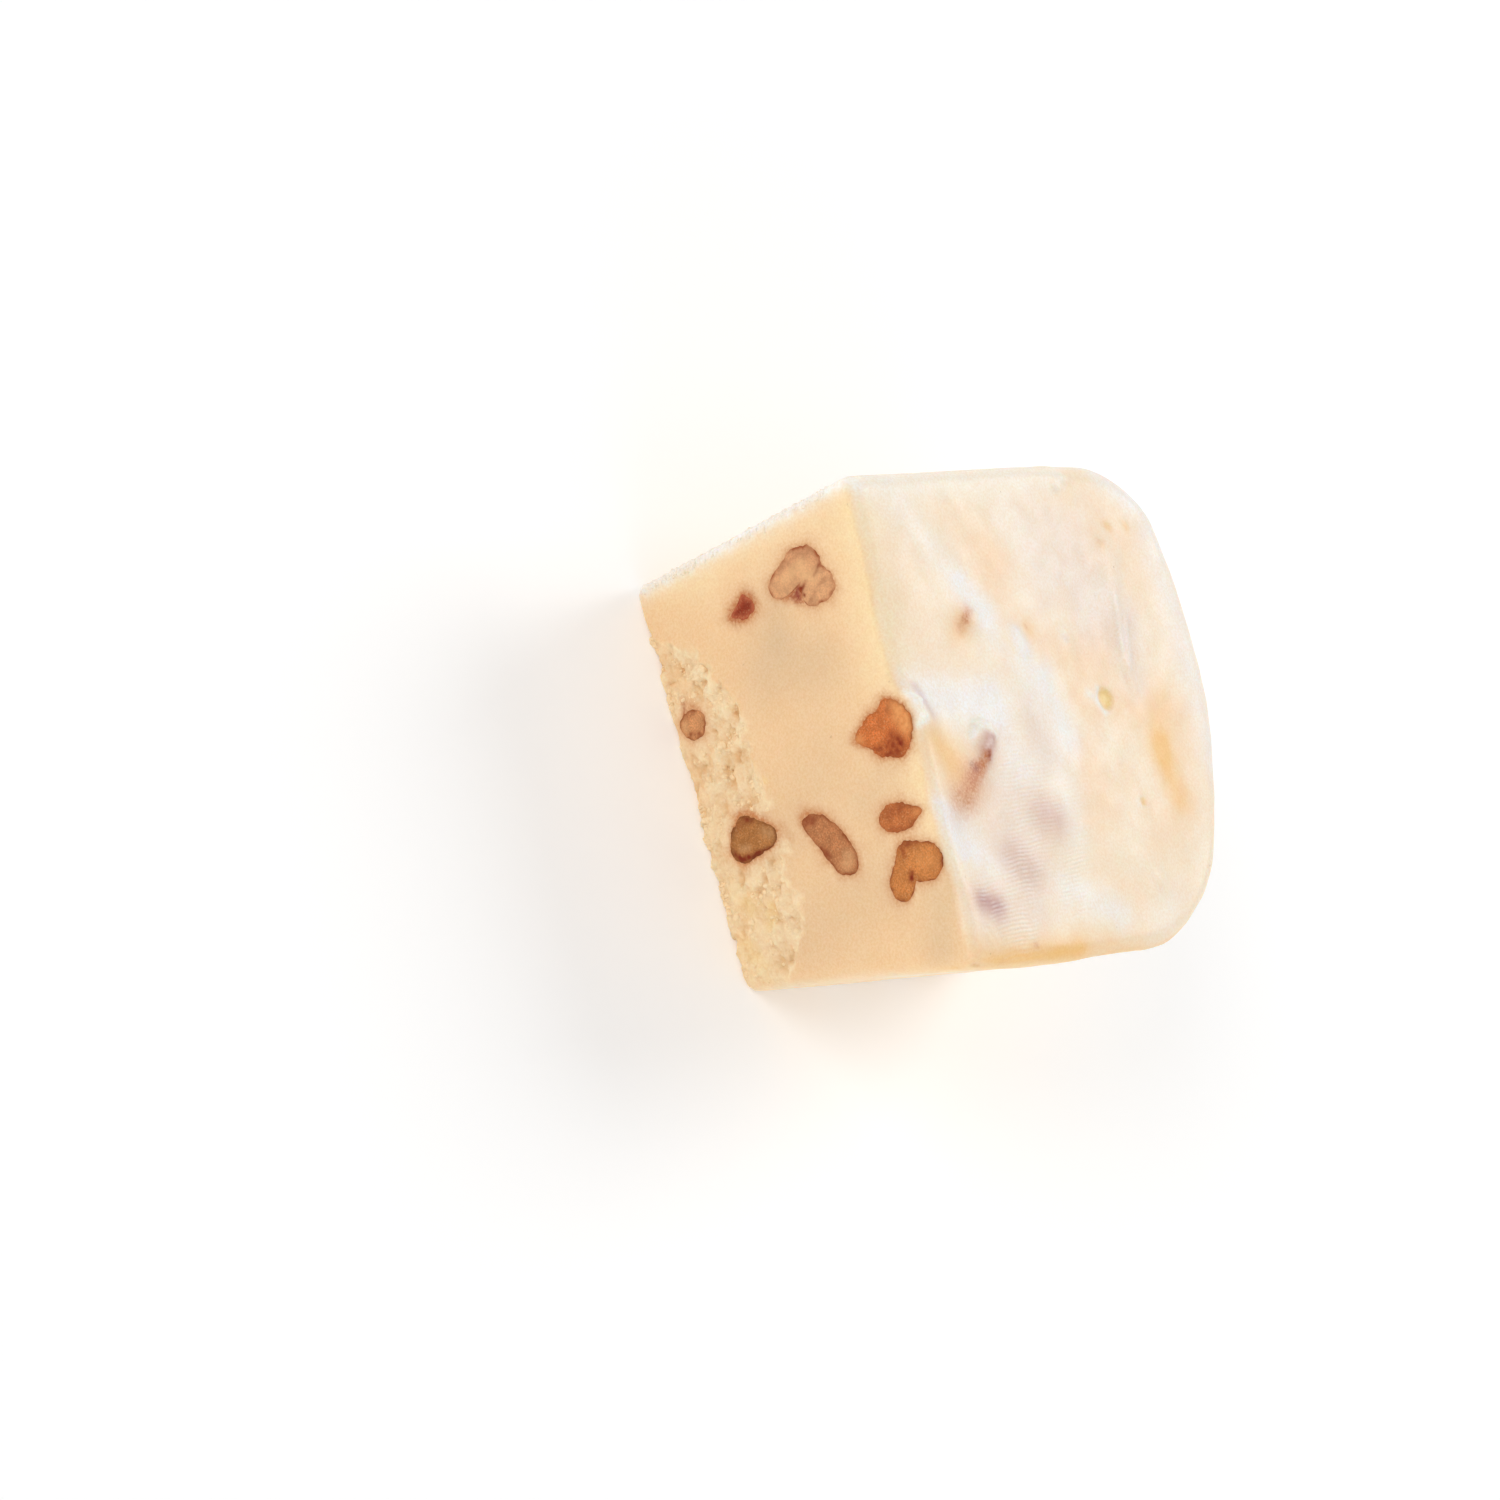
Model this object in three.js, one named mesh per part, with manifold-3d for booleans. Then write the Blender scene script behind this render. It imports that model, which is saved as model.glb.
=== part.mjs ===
// A square of vanilla fudge with pecan pieces, cut from a poured slab.
// Millimetres, +Z up. The piece lies on the slab's flat underside with its poured skin on top.
// A knife-cut face that shows the nuts looks along -Y, and a second cut face looks along -X.
// The back (+Y) and the +X end are the bowed outer sides of the slab.
// The origin is in the middle of the base.

import * as THREE from 'three';
import { ImprovedNoise } from 'three/addons/math/ImprovedNoise.js';
import Module from 'manifold-3d';

// Overall size of the block
const LENGTH = 58.7;
const DEPTH = 58.4;
const HEIGHT = 35.6;
const HEIGHT_FALL = 0.04;          // the slab thins out towards +X, mm per mm

const CUT_FACE_Y = -DEPTH / 2;
const CUT_END_X = -LENGTH / 2;
const CUT_END_LEAN = 1.5;          // how far the foot of the cut end is set in
const WALL_END_LEAN = 5.2;         // the same at the moulded +X end
const BACK_LEAN = 2.0;

// The two outer sides bow outwards: a crest, and how far the side falls away over a reach from it
const BACK = { crest: 29.4, crestAt: -5.2, fall: 10.6, reach: 31.7 };
const WALL = { crest: 30.1, crestAt: 15.0, fall: 3.2, reach: 44.2 };

// Radii of the rounded edges
const BACK_CUT_CORNER = 8.6;
const BACK_WALL_CORNER = 10.6;
const TOP_EDGE_FRONT = 2.0;
const TOP_EDGE_BACK = 5.0;
const CUT_FACE_EDGE = 1.6;

// Lumps (positive) and pits (negative) of the poured skin: a ridge from one place to another
const SKIN_RELIEF = [
  { from: [1.8, -17.1], to: [8.3, -23.1], height: 0.9, spread: 2.0 },     // nut under the skin
  { from: [-2.8, -28.6], to: [-1.2, -27.6], height: 1.0, spread: 1.9 },   // skin over a nut at the edge
  { from: [-11.8, -15.6], to: [-11.4, -15.0], height: 0.5, spread: 1.8 }, // nut tip
  { from: [12.0, -10.4], to: [13.4, -8.4], height: 0.5, spread: 2.8 },    // sunken nuts
  { from: [15.8, -16.2], to: [17.4, -14.4], height: 0.3, spread: 2.5 },
  { from: [19.6, -25.2], to: [21.8, -22.8], height: 0.4, spread: 3.2 },
  { from: [-27.8, -25.0], to: [-14.0, -13.1], height: 0.5, spread: 2.8 }, // diagonal fold, in two runs
  { from: [-9.5, -10.2], to: [7.9, -2.2], height: 0.5, spread: 2.8 },
  { from: [3.0, -28.6], to: [23.5, -28.4], height: 0.9, spread: 3.0 },    // lip along the cut edge
  { from: [-14.0, -29.0], to: [-6.5, -29.0], height: -0.5, spread: 3.0 }, // dip in the cut edge
  { from: [-17.0, 12.6], to: [-4.0, 11.2], height: 0.3, spread: 2.2 },    // ridge near the back
  { from: [-27.6, 7.4], to: [-26.2, 8.8], height: 0.6, spread: 2.0 },     // lump on the end's edge
  { from: [-0.5, 6.1], to: [-0.2, 6.5], height: -0.9, spread: 1.2 },      // burst bubble
];
const SKIN_WAVE = { height: 0.35, size: 11 };

// The torn, crumbly band along the foot of each cut face
const BAND = { height: 11.3, wander: 1.6, depth: 0.6, cragDepth: 0.9, cragSize: 2.3, softness: 0.7 };
const FACE_BAND = { middle: 1.7, halfLength: 23, rise: 0.08 };
const END_BAND = { middle: 6, halfLength: 21, rise: 0 };
const BAND_SQUARENESS = 6;         // power that keeps the band even along most of its length

// Fineness of the faceted surface
const CELLS_X = 34;
const CELLS_Y = 30;
const BAND_ROWS = 11;
const UPPER_ROWS = 9;
const ROW_CROWDING = 1.5;          // power that crowds the upper rows towards the top edge
const CORE_MARGIN = 14;            // depth of the inner core that the surface is measured from
const SEARCH_STEPS = 40;

// Pecan pieces: flat where the knife cut them, rounded where they lie in the fudge
const PECAN_GAP = 0.3;
const PECAN_SIDES = 28;
const PECAN_RINGS = [0, 0.4, 0.7, 0.9];  // depths of the rings, as shares of the piece's depth
const POCKET_MOUTH = 1.5;

// One entry per piece: its place on the face (right, up), half sizes, turn in degrees and depth.
// Lobes stand out of the outline, or cleave it if negative: angle in degrees, reach, spread in degrees.
const FACE_PECANS = [
  { at: [-20.5, 26.1], size: [3.3, 5.9], turn: -9, depth: 5.5,
    lobes: [[-32, -2.0, 19], [-56, -3.0, 13], [93, -2.4, 26], [-118, -1.3, 34]] },
  { at: [-20.1, 16.2], size: [0.9, 1.3], turn: 33, depth: 2.4,
    lobes: [[-80, 0.8, 15], [63, 0.5, 33], [171, 0.4, 23]] },
  { at: [-0.9, 32.2], size: [3.3, 3.1], turn: 0, depth: 4.5,
    lobes: [[-156, -0.9, 24], [101, 0.3, 26], [-93, 1.8, 16], [-15, -0.4, 26]] },
  { at: [-9.8, 3.4], size: [1.5, 1.8], turn: -5, depth: 3.0, lobes: [[119, 0.1, 13]] },
  { at: [5.3, 7.5], size: [1.8, 4.0], turn: -5, depth: 4.5,
    lobes: [[-96, -1.3, 22], [-59, 0.9, 46], [-173, 0.9, 34]] },
  { at: [8.9, 19.6], size: [2.0, 4.4], turn: -55, depth: 4.5,
    lobes: [[-130, 0.9, 13], [-91, -0.5, 46], [6, 0.5, 17]] },
  { at: [8.7, 30.3], size: [2.2, 1.4], turn: 83, depth: 3.5, lobes: [[-97, 0.5, 46], [89, 1.1, 14]] },
  { at: [14.5, 30.5], size: [2.9, 1.8], turn: 15, depth: 4.5,
    lobes: [[-60, 2.5, 44], [98, 2.3, 45], [-12, -1.3, 13], [14, -1.4, 31]] },
];
const END_PECANS = [
  { at: [21.0, 22.5], size: [3.4, 2.2], turn: -35, depth: 4.5, lobes: [[90, -0.5, 30]] },
  { at: [9.5, 28.0], size: [2.6, 2.3], turn: 10, depth: 4.0, lobes: [[-60, 1.4, 18], [130, 0.4, 25]] },
  { at: [6.0, 12.5], size: [4.2, 3.1], turn: 65, depth: 5.5, lobes: [[-100, -1.9, 15]] },
  { at: [-6.5, 21.0], size: [1.8, 2.8], turn: 25, depth: 3.5, lobes: [[90, 0.6, 14]] },
  { at: [-10.0, 8.0], size: [2.4, 1.8], turn: -15, depth: 3.5, lobes: [[0, 0.4, 25], [140, 0.4, 25]] },
];

const FUDGE_LOOK = { color: '#f2dcb6', roughness: 0.5, metalness: 0 };
const PECAN_LOOK = { color: '#bb7c4c', roughness: 0.75, metalness: 0 };

const { clamp, degToRad, lerp, smoothstep } = THREE.MathUtils;
const noise = new ImprovedNoise();
const wasm = await Module();
wasm.setup();

// Rounded meeting of two half spaces, from the signed distances to their faces
function roundMax(a, b, radius) {
  const overA = Math.max(a + radius, 0);
  const overB = Math.max(b + radius, 0);
  return Math.min(Math.max(a, b), -radius) + Math.hypot(overA, overB);
}

// Height at (x, y) of one lump, ridge or pit of the skin
function reliefHeight({ from, to, height, spread }, x, y) {
  const run = [to[0] - from[0], to[1] - from[1]];
  const along = ((x - from[0]) * run[0] + (y - from[1]) * run[1]) / (run[0] ** 2 + run[1] ** 2);
  const nearest = clamp(along, 0, 1);
  const away = Math.hypot(x - from[0] - nearest * run[0], y - from[1] - nearest * run[1]);
  return height * Math.exp(-((away / spread) ** 2));
}

function skinHeight(x, y) {
  const wave = SKIN_WAVE.height * noise.noise(x / SKIN_WAVE.size, y / SKIN_WAVE.size, 0.5);
  const relief = SKIN_RELIEF.reduce((sum, lump) => sum + reliefHeight(lump, x, y), 0);
  return HEIGHT - HEIGHT_FALL * x + wave + relief;
}

// How far a cut face is set back by the torn band at its foot
function tornDepth(along, z, { middle, halfLength, rise }) {
  const reach = Math.abs((along - middle) / halfLength);
  const wander = BAND.wander * noise.noise(along / BAND.cragSize, z / BAND.cragSize, middle);
  const upperEdge = (BAND.height + rise * along) * (1 - reach ** BAND_SQUARENESS) + wander;
  const torn = smoothstep(upperEdge - z, -BAND.softness, BAND.softness);
  const crag = noise.noise(along / BAND.cragSize, z / BAND.cragSize, middle + 7.5);
  return torn * Math.max(BAND.depth + BAND.cragDepth * crag, 0);
}

// Signed distance to the top and sides of the block, negative inside
function blockDistance({ x, y, z }) {
  const below = 1 - clamp(z / HEIGHT, 0, 1);
  const backLine = BACK.crest - BACK.fall * ((x - BACK.crestAt) / BACK.reach) ** 2;
  const wallLine = WALL.crest - WALL.fall * ((y - WALL.crestAt) / WALL.reach) ** 2;
  const back = y - backLine + BACK_LEAN * below;
  const wallEnd = x - wallLine + WALL_END_LEAN * below;
  const cutEnd = CUT_END_X + CUT_END_LEAN * below - x + tornDepth(-y, z, END_BAND);
  const cutFace = CUT_FACE_Y - y + tornDepth(x, z, FACE_BAND);
  const topRadius = lerp(TOP_EDGE_FRONT, TOP_EDGE_BACK, smoothstep(y, 0, DEPTH / 2));

  let distance = roundMax(back, cutEnd, BACK_CUT_CORNER);
  distance = roundMax(distance, wallEnd, BACK_WALL_CORNER);
  distance = roundMax(distance, z - skinHeight(x, y), topRadius);
  return roundMax(distance, cutFace, CUT_FACE_EDGE);
}

// Moves a point of the plain box on to the block's surface, along a ray from the inner core
function ontoBlock(point) {
  const core = new THREE.Vector3(
    clamp(point.x, -LENGTH / 2 + CORE_MARGIN, LENGTH / 2 - CORE_MARGIN),
    clamp(point.y, -DEPTH / 2 + CORE_MARGIN, DEPTH / 2 - CORE_MARGIN),
    Math.min(point.z, HEIGHT - CORE_MARGIN),
  );
  const ray = point.clone().sub(core);
  let inside = 0;
  let outside = 2;
  for (let step = 0; step < SEARCH_STEPS; step += 1) {
    const middle = (inside + outside) / 2;
    const probe = core.clone().addScaledVector(ray, middle);
    if (blockDistance(probe) < 0) inside = middle;
    else outside = middle;
  }
  return core.addScaledVector(ray, inside);
}

// Corners of the box's outline, counter-clockwise from the front at the cut end
function outlinePoints() {
  const points = [];
  const x = (i) => LENGTH * (i / CELLS_X - 0.5);
  const y = (j) => DEPTH * (j / CELLS_Y - 0.5);
  for (let i = 0; i < CELLS_X; i += 1) points.push([x(i), y(0)]);
  for (let j = 0; j < CELLS_Y; j += 1) points.push([x(CELLS_X), y(j)]);
  for (let i = CELLS_X; i > 0; i -= 1) points.push([x(i), y(CELLS_Y)]);
  for (let j = CELLS_Y; j > 0; j -= 1) points.push([x(0), y(j)]);
  return points;
}

// Heights of the rows of facets, closer together in the torn band and near the top edge
function rowHeights() {
  const heights = [];
  for (let row = 0; row < BAND_ROWS; row += 1) heights.push((BAND.height * row) / BAND_ROWS);
  for (let row = 0; row <= UPPER_ROWS; row += 1) {
    const left = (1 - row / UPPER_ROWS) ** ROW_CROWDING;
    heights.push(lerp(HEIGHT, BAND.height, left));
  }
  return heights;
}

function geometryOf(points, triangles) {
  const geometry = new THREE.BufferGeometry().setFromPoints(points);
  geometry.setIndex(triangles.flat());
  return geometry;
}

function blockGeometry() {
  const outline = outlinePoints();
  const around = outline.length;
  const heights = rowHeights();
  const points = [];
  const triangles = [];
  const addQuad = (a, b, c, d) => triangles.push([a, b, c], [a, c, d]);
  const joinRings = (lower, upper) => {
    for (let i = 0; i < around; i += 1) {
      const next = (i + 1) % around;
      addQuad(lower + i, lower + next, upper + next, upper + i);
    }
  };

  // Sides, ring by ring from the base edge to the top edge
  for (const z of heights) {
    for (const [x, y] of outline) points.push(ontoBlock(new THREE.Vector3(x, y, z)));
  }
  const topRing = around * (heights.length - 1);
  for (let ring = 0; ring < topRing; ring += around) joinRings(ring, ring + around);

  // Top, a grid whose border is the last ring
  const inner = points.length;
  for (let j = 1; j < CELLS_Y; j += 1) {
    for (let i = 1; i < CELLS_X; i += 1) {
      const [x] = outline[i];
      const [, y] = outline[CELLS_X + j];
      points.push(ontoBlock(new THREE.Vector3(x, y, HEIGHT)));
    }
  }
  const topIndex = (i, j) => {
    if (j === 0) return topRing + i;
    if (i === CELLS_X) return topRing + CELLS_X + j;
    if (j === CELLS_Y) return topRing + CELLS_X + CELLS_Y + (CELLS_X - i);
    if (i === 0) return topRing + 2 * CELLS_X + CELLS_Y + (CELLS_Y - j);
    return inner + (j - 1) * (CELLS_X - 1) + (i - 1);
  };
  for (let j = 0; j < CELLS_Y; j += 1) {
    for (let i = 0; i < CELLS_X; i += 1) {
      addQuad(topIndex(i, j), topIndex(i + 1, j), topIndex(i + 1, j + 1), topIndex(i, j + 1));
    }
  }

  // Base, one flat face inside the first ring
  const border = points.slice(0, around).map(({ x, y }) => new THREE.Vector2(x, y));
  for (const [a, b, c] of THREE.ShapeUtils.triangulateShape(border, [])) triangles.push([a, c, b]);
  return geometryOf(points, triangles);
}

// Distance from a pecan piece's middle to its outline, at an angle
function outlineRadius({ size, turn, lobes }, angle) {
  const turned = angle - degToRad(turn);
  const ellipse = 1 / Math.hypot(Math.cos(turned) / size[0], Math.sin(turned) / size[1]);
  return lobes.reduce((radius, [at, reach, spread]) => {
    const away = Math.atan2(Math.sin(angle - degToRad(at)), Math.cos(angle - degToRad(at)));
    return radius + reach * Math.exp(-((away / degToRad(spread)) ** 2));
  }, ellipse);
}

// A pecan piece with its cut face in the XY plane and its body below, larger all round by grow.
// The mouth lifts the cut face, for the pocket that the piece sits in.
function pecanGeometry(pecan, grow = 0, mouth = 0) {
  const points = [];
  const triangles = [];
  const depth = pecan.depth + grow;
  PECAN_RINGS.forEach((share, ring) => {
    const narrowing = Math.sqrt(1 - share ** 2);
    for (let side = 0; side < PECAN_SIDES; side += 1) {
      const angle = (2 * Math.PI * side) / PECAN_SIDES;
      const radius = (outlineRadius(pecan, angle) + grow) * narrowing;
      const z = ring === 0 ? mouth : -depth * share;
      points.push(new THREE.Vector3(radius * Math.cos(angle), radius * Math.sin(angle), z));
    }
  });
  const face = points.push(new THREE.Vector3(0, 0, mouth)) - 1;
  const tip = points.push(new THREE.Vector3(0, 0, -depth)) - 1;
  const lastRing = PECAN_SIDES * (PECAN_RINGS.length - 1);
  for (let side = 0; side < PECAN_SIDES; side += 1) {
    const next = (side + 1) % PECAN_SIDES;
    triangles.push([face, side, next]);
    triangles.push([tip, lastRing + next, lastRing + side]);
    for (let ring = 0; ring < lastRing; ring += PECAN_SIDES) {
      const deeper = ring + PECAN_SIDES;
      triangles.push([ring + side, deeper + side, deeper + next]);
      triangles.push([ring + side, deeper + next, ring + next]);
    }
  }
  return geometryOf(points, triangles);
}

function solidOf(geometry) {
  const vertProperties = new Float32Array(geometry.getAttribute('position').array);
  const triVerts = new Uint32Array(geometry.getIndex().array);
  return new wasm.Manifold(new wasm.Mesh({ numProp: 3, vertProperties, triVerts }));
}

function geometryOfSolid(solid) {
  const { vertProperties, triVerts } = solid.getMesh();
  const geometry = new THREE.BufferGeometry();
  geometry.setAttribute('position', new THREE.BufferAttribute(vertProperties, 3));
  geometry.setIndex(new THREE.BufferAttribute(triVerts, 1));
  return geometry;
}

// A cut face as a group: its own X runs right and Y up, seen from outside, and Z points out
function cutFace(pecans, firstNumber) {
  const face = new THREE.Group();
  pecans.forEach((pecan, index) => {
    const mesh = new THREE.Mesh(pecanGeometry(pecan), new THREE.MeshStandardMaterial(PECAN_LOOK));
    mesh.name = `pecan_${firstNumber + index}`;
    mesh.position.set(pecan.at[0], pecan.at[1], 0);
    mesh.userData.pocket = pecanGeometry(pecan, PECAN_GAP, POCKET_MOUTH);
    face.add(mesh);
  });
  return face;
}

const frontFace = cutFace(FACE_PECANS, 1);
frontFace.position.y = CUT_FACE_Y;
frontFace.rotation.x = Math.PI / 2;

// The end face turns to look along -X and leans in at its foot
const endFace = cutFace(END_PECANS, 1 + FACE_PECANS.length);
endFace.position.x = CUT_END_X + CUT_END_LEAN;
endFace.rotation.set(Math.PI / 2 + Math.atan(CUT_END_LEAN / HEIGHT), 0, -Math.PI / 2, 'ZYX');

const model = new THREE.Group();
model.add(frontFace, endFace);
model.updateMatrixWorld(true);

// The block, with a pocket for every pecan piece
let block = solidOf(blockGeometry());
for (const pecan of [...frontFace.children, ...endFace.children]) {
  const pocket = pecan.userData.pocket.applyMatrix4(pecan.matrixWorld);
  block = block.subtract(solidOf(pocket));
}
const fudge = new THREE.Mesh(geometryOfSolid(block), new THREE.MeshStandardMaterial(FUDGE_LOOK));
fudge.name = 'fudge_block';
model.add(fudge);

export default model;
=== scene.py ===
"""Looks of a square of vanilla fudge with pecan pieces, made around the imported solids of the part.

Lengths are millimetres in the part's own frame, and meshes turn them into metres.
The piece lies on its flat base. Its poured skin is on top (+Z), the cut face that shows most nuts
looks along -Y, a second cut face looks along -X, and the other two sides are moulded.
"""

import itertools
import math

import bmesh
import bpy
import numpy as np
from mathutils import Matrix, Vector


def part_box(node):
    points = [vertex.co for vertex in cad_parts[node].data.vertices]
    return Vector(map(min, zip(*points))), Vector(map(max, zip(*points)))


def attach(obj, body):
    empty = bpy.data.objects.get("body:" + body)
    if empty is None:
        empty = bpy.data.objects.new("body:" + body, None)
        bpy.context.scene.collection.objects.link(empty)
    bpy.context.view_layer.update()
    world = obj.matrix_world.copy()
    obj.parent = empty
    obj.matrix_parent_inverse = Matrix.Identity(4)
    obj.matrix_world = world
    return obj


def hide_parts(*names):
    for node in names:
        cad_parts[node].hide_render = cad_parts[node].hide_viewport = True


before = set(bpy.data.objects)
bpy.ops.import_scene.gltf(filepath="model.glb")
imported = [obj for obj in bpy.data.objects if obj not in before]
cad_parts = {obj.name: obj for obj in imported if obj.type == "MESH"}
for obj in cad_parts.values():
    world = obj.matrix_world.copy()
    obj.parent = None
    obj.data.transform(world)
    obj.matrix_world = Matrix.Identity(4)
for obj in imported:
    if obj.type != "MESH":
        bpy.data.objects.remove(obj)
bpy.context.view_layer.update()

MM = 0.001
block_low, block_high = (np.array(corner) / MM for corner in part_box("fudge_block"))

# Overall size of the block
LENGTH, DEPTH, TOP = block_high - block_low
SKIN_RISE = 1.7  # how far the highest lump stands above the slab
HEIGHT = TOP - SKIN_RISE
HEIGHT_FALL = 0.04  # the slab thins out towards +X, mm per mm
CUT_FACE_Y = block_low[1]
CUT_END_X = block_low[0]
CUT_END_LEAN = 1.5  # how far the foot of the cut end is set in
WALL_END_LEAN = 5.2
BACK_LEAN = 2.0

# The two moulded sides bow outwards: a crest, and how far the side falls away over a reach from it
BACK = {"crest": 29.4, "crest_at": -5.2, "fall": 10.6, "reach": 31.7}
WALL = {"crest": 30.1, "crest_at": 15.0, "fall": 3.2, "reach": 44.2}

# Radii of the rounded edges
BACK_CUT_CORNER = 8.6
BACK_WALL_CORNER = 10.6
TOP_EDGE_FRONT = 2.0
TOP_EDGE_BACK = 5.0
CUT_FACE_EDGE = 1.6
BASE_EDGE = 0.5

# Fineness of the block's surface
CELLS_X = 172
CELLS_Y = 140
BAND_ROWS = 54
UPPER_ROWS = 48
ROW_CROWDING = 1.5  # power that crowds the upper rows towards the top edge
SHARE_CRISPNESS = 4  # power that sets how quickly one side's finish gives way to the next
SIDE_REACH = np.array([1.7, 1.0, 1.0, 1.0, 1.0])  # the skin reaches furthest over the rounded edges
CORE_MARGIN = 14.0  # depth of the inner core that the surface is measured from
SEARCH_STEPS = 26

# Lumps and hollows of the poured skin: each from x, y to x, y, with its height and spread
SKIN_LUMPS = [
    (2.4, -17.2, 3.4, -18, 0.7, 1.6),  # nut under the skin
    (4.6, -19.2, 8.3, -23.1, 0.25, 2.8),
    (-2.8, -28.6, -1.2, -27.6, 1, 1.9),  # skin over a nut at the edge
    (-11.8, -15.6, -11.4, -15, 0.5, 1.8),  # nut tip
    (12, -10.4, 13.4, -8.4, 0.5, 2.8),  # sunken nuts
    (15.8, -16.2, 17.4, -14.4, 0.3, 2.5), (19.6, -25.2, 21.8, -22.8, 0.4, 3.2),
    (-27.8, -25, -14, -13.1, 0.25, 3.6),  # diagonal fold, in two runs
    (-9.5, -10.2, 7.9, -2.2, 0.25, 3.6),
    (3, -28.6, 23.5, -28.4, 0.6, 3.4),  # lip along the cut edge
    (-14, -29, -6.5, -29, -0.5, 3),  # dip in the cut edge
    (-17, 12.6, -4, 11.2, 0.3, 2.2),  # ridge near the back
    (-27.6, 7.4, -26.2, 8.8, 0.4, 2.4),  # lump on the end's edge
]
FINE_LUMPS = [
    (-9, -7.9, -7.4, -7.2, 0.3, 1),  # blister beside the fold
    (1.6, -19.4, 0.7, -18.4, 0.35, 0.4),  # skin drawn up round the nut's end
    (0.7, -18.4, 0.8, -17, 0.45, 0.4), (0.8, -17, 2, -15.9, 0.4, 0.4),
    (-3.9, -28.9, -2.9, -28, 0.3, 0.4),  # lifted flake at the cut edge
    (-2.9, -28, -1, -27.8, 0.34, 0.4), (-1, -27.8, -0.2, -28.7, 0.3, 0.4),
    (-12.2, 12.6, -6, 11.3, 0.18, 0.5),  # scraped streaks
    (-9.4, 13.6, -3.6, 12.2, 0.15, 0.5), (-6, 11.3, -0.6, 12.1, 0.15, 0.6),
    (-20.9, 14.7, -20.6, 15, 0.25, 0.5),  # stuck crumbs
    (-20.9, 18.2, -20.7, 18.5, 0.2, 0.5), (-18.7, 12.5, -18.5, 12.7, 0.2, 0.5),
    (-27.2, 8.2, -26.9, 8.6, 0.3, 0.6), (-26.2, 6.6, -26, 6.9, 0.25, 0.5),
    (-1.3, 3.3, -1.1, 3.7, 0.15, 0.5), (-8.7, 1.3, -7.6, 2.6, 0.15, 0.4),
    (18.2, 5.2, 22.1, 7.5, 0.14, 0.9),  # fold near the moulded end
    (22.1, 7.5, 26.6, 9.2, 0.14, 0.9),
    (22.2, -26, 24.8, -24.3, 0.1, 0.3),  # scratches
    (23.4, -26.4, 25.6, -24.8, 0.1, 0.3),
]
BUBBLES = [((-0.1, 6.3), 1.45, 0.32), ((12.9, 8.2), 0.6, 0.18)]  # place, radius, depth
BUBBLE_WALL = (1.05, 0.65)  # shares of its radius where a bubble's wall begins and ends
BUBBLE_RIM = {"at": 1.25, "width": 0.25, "height": 0.18}
SKIN_WAVE = {"height": 0.35, "size": 11.0}
SKIN_RIPPLE = {"height": 0.07, "size": 3.4}
SKIN_DRIFT = {"reach": 0.30, "size": 2.6}  # how far noise bends the lumps and patches
SIDE_WAVE = 0.7  # share of the skin's wave that the moulded sides have

# The torn, crumbly band along the foot of each cut face
BAND = {
    "height": 11.3, "depth": 0.25, "softness": 0.7, "squareness": 6,
    "wander": 1.7, "wander_size": 3.1, "fringe": 0.6, "fringe_size": 1.2,
    "calm": 0.25, "calm_depths": (3.0, 6.0),
}
CRUMBS = {
    "coarse": 2.2, "coarse_height": 1.0, "fine": 0.85, "fine_height": 0.4, "highest": 0.3,
    "bend": 0.7, "bend_size": 1.1,
}
LIP = {"height": 0.08, "width": 0.7}
PITS = {
    "count": 90, "radii": (0.22, 0.85), "smallness": 2.5, "steepness": (0.5, 1.0), "large_steepness": 0.8,
    "across": 1.05, "lowest": 0.3, "above": 1.5, "wall": (1.15, 0.1),
}
NUT_CLING = 1.3  # reach within which fudge still clings to a nut in the band

# Shallow dents and pinholes of the moulded sides, and the ragged edge of the base
DENTS = {"depth": 0.32, "size": 2.6, "stretch": np.array([1.0, 1.0, 1.7]), "range": (0.32, 0.72)}
PINHOLES = {"depth": 0.26, "size": 1.3, "range": (0.62, 0.84)}
BASE_RAG = {"depth": 0.7, "size": 1.1, "height": 1.6}

MESH_SEED = 11
CREASE = math.radians(60)  # edges that turn more than this stay sharp

# A cut face as seen from outside: its foot's middle, its own right, up and outward directions, its band
END_TILT = math.atan2(CUT_END_LEAN, HEIGHT)
FRONT_FACE = {
    "foot": np.array([0.0, CUT_FACE_Y, 0.0]),
    "right": np.array([1.0, 0.0, 0.0]),
    "up": np.array([0.0, 0.0, 1.0]),
    "out": np.array([0.0, -1.0, 0.0]),
    "band": {"middle": 1.7, "half_length": 23.0, "rise": 0.08, "calm": (9.0, 15.0)},
    "pits": [
        (-13.9, 5.3, 0.9), (-9.5, 10.4, 0.7), (-8.9, 10.2, 0.5), (-4.2, 8.5, 0.8), (-4.8, 6.4, 0.7),
        (8.6, 9.7, 0.8), (10.0, 7.9, 0.6), (13.9, 7.6, 0.8), (15.7, 6.6, 0.6), (-1.2, 11.9, 0.4),
    ],
    "pecans": range(1, 9),
    "seed": 3,
}
END_FACE = {
    "foot": np.array([CUT_END_X + CUT_END_LEAN, 0.0, 0.0]),
    "right": np.array([0.0, -1.0, 0.0]),
    "up": np.array([-math.sin(END_TILT), 0.0, math.cos(END_TILT)]),
    "out": np.array([-math.cos(END_TILT), 0.0, -math.sin(END_TILT)]),
    "band": {"middle": 6.0, "half_length": 21.0, "rise": 0.0, "calm": (16.0, 22.0)},
    "pits": [(-3.4, 6.3, 0.9), (1.5, 10.0, 0.7), (12.6, 8.2, 0.8), (18.2, 5.0, 0.7)],
    "pecans": range(9, 14),
    "seed": 4,
}
CUT_FACES = [FRONT_FACE, END_FACE]


# Small tools for shapes

def smooth_step(value, low, high):
    share = np.clip((value - low) / (high - low), 0, 1)
    return share * share * (3 - 2 * share)


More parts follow.
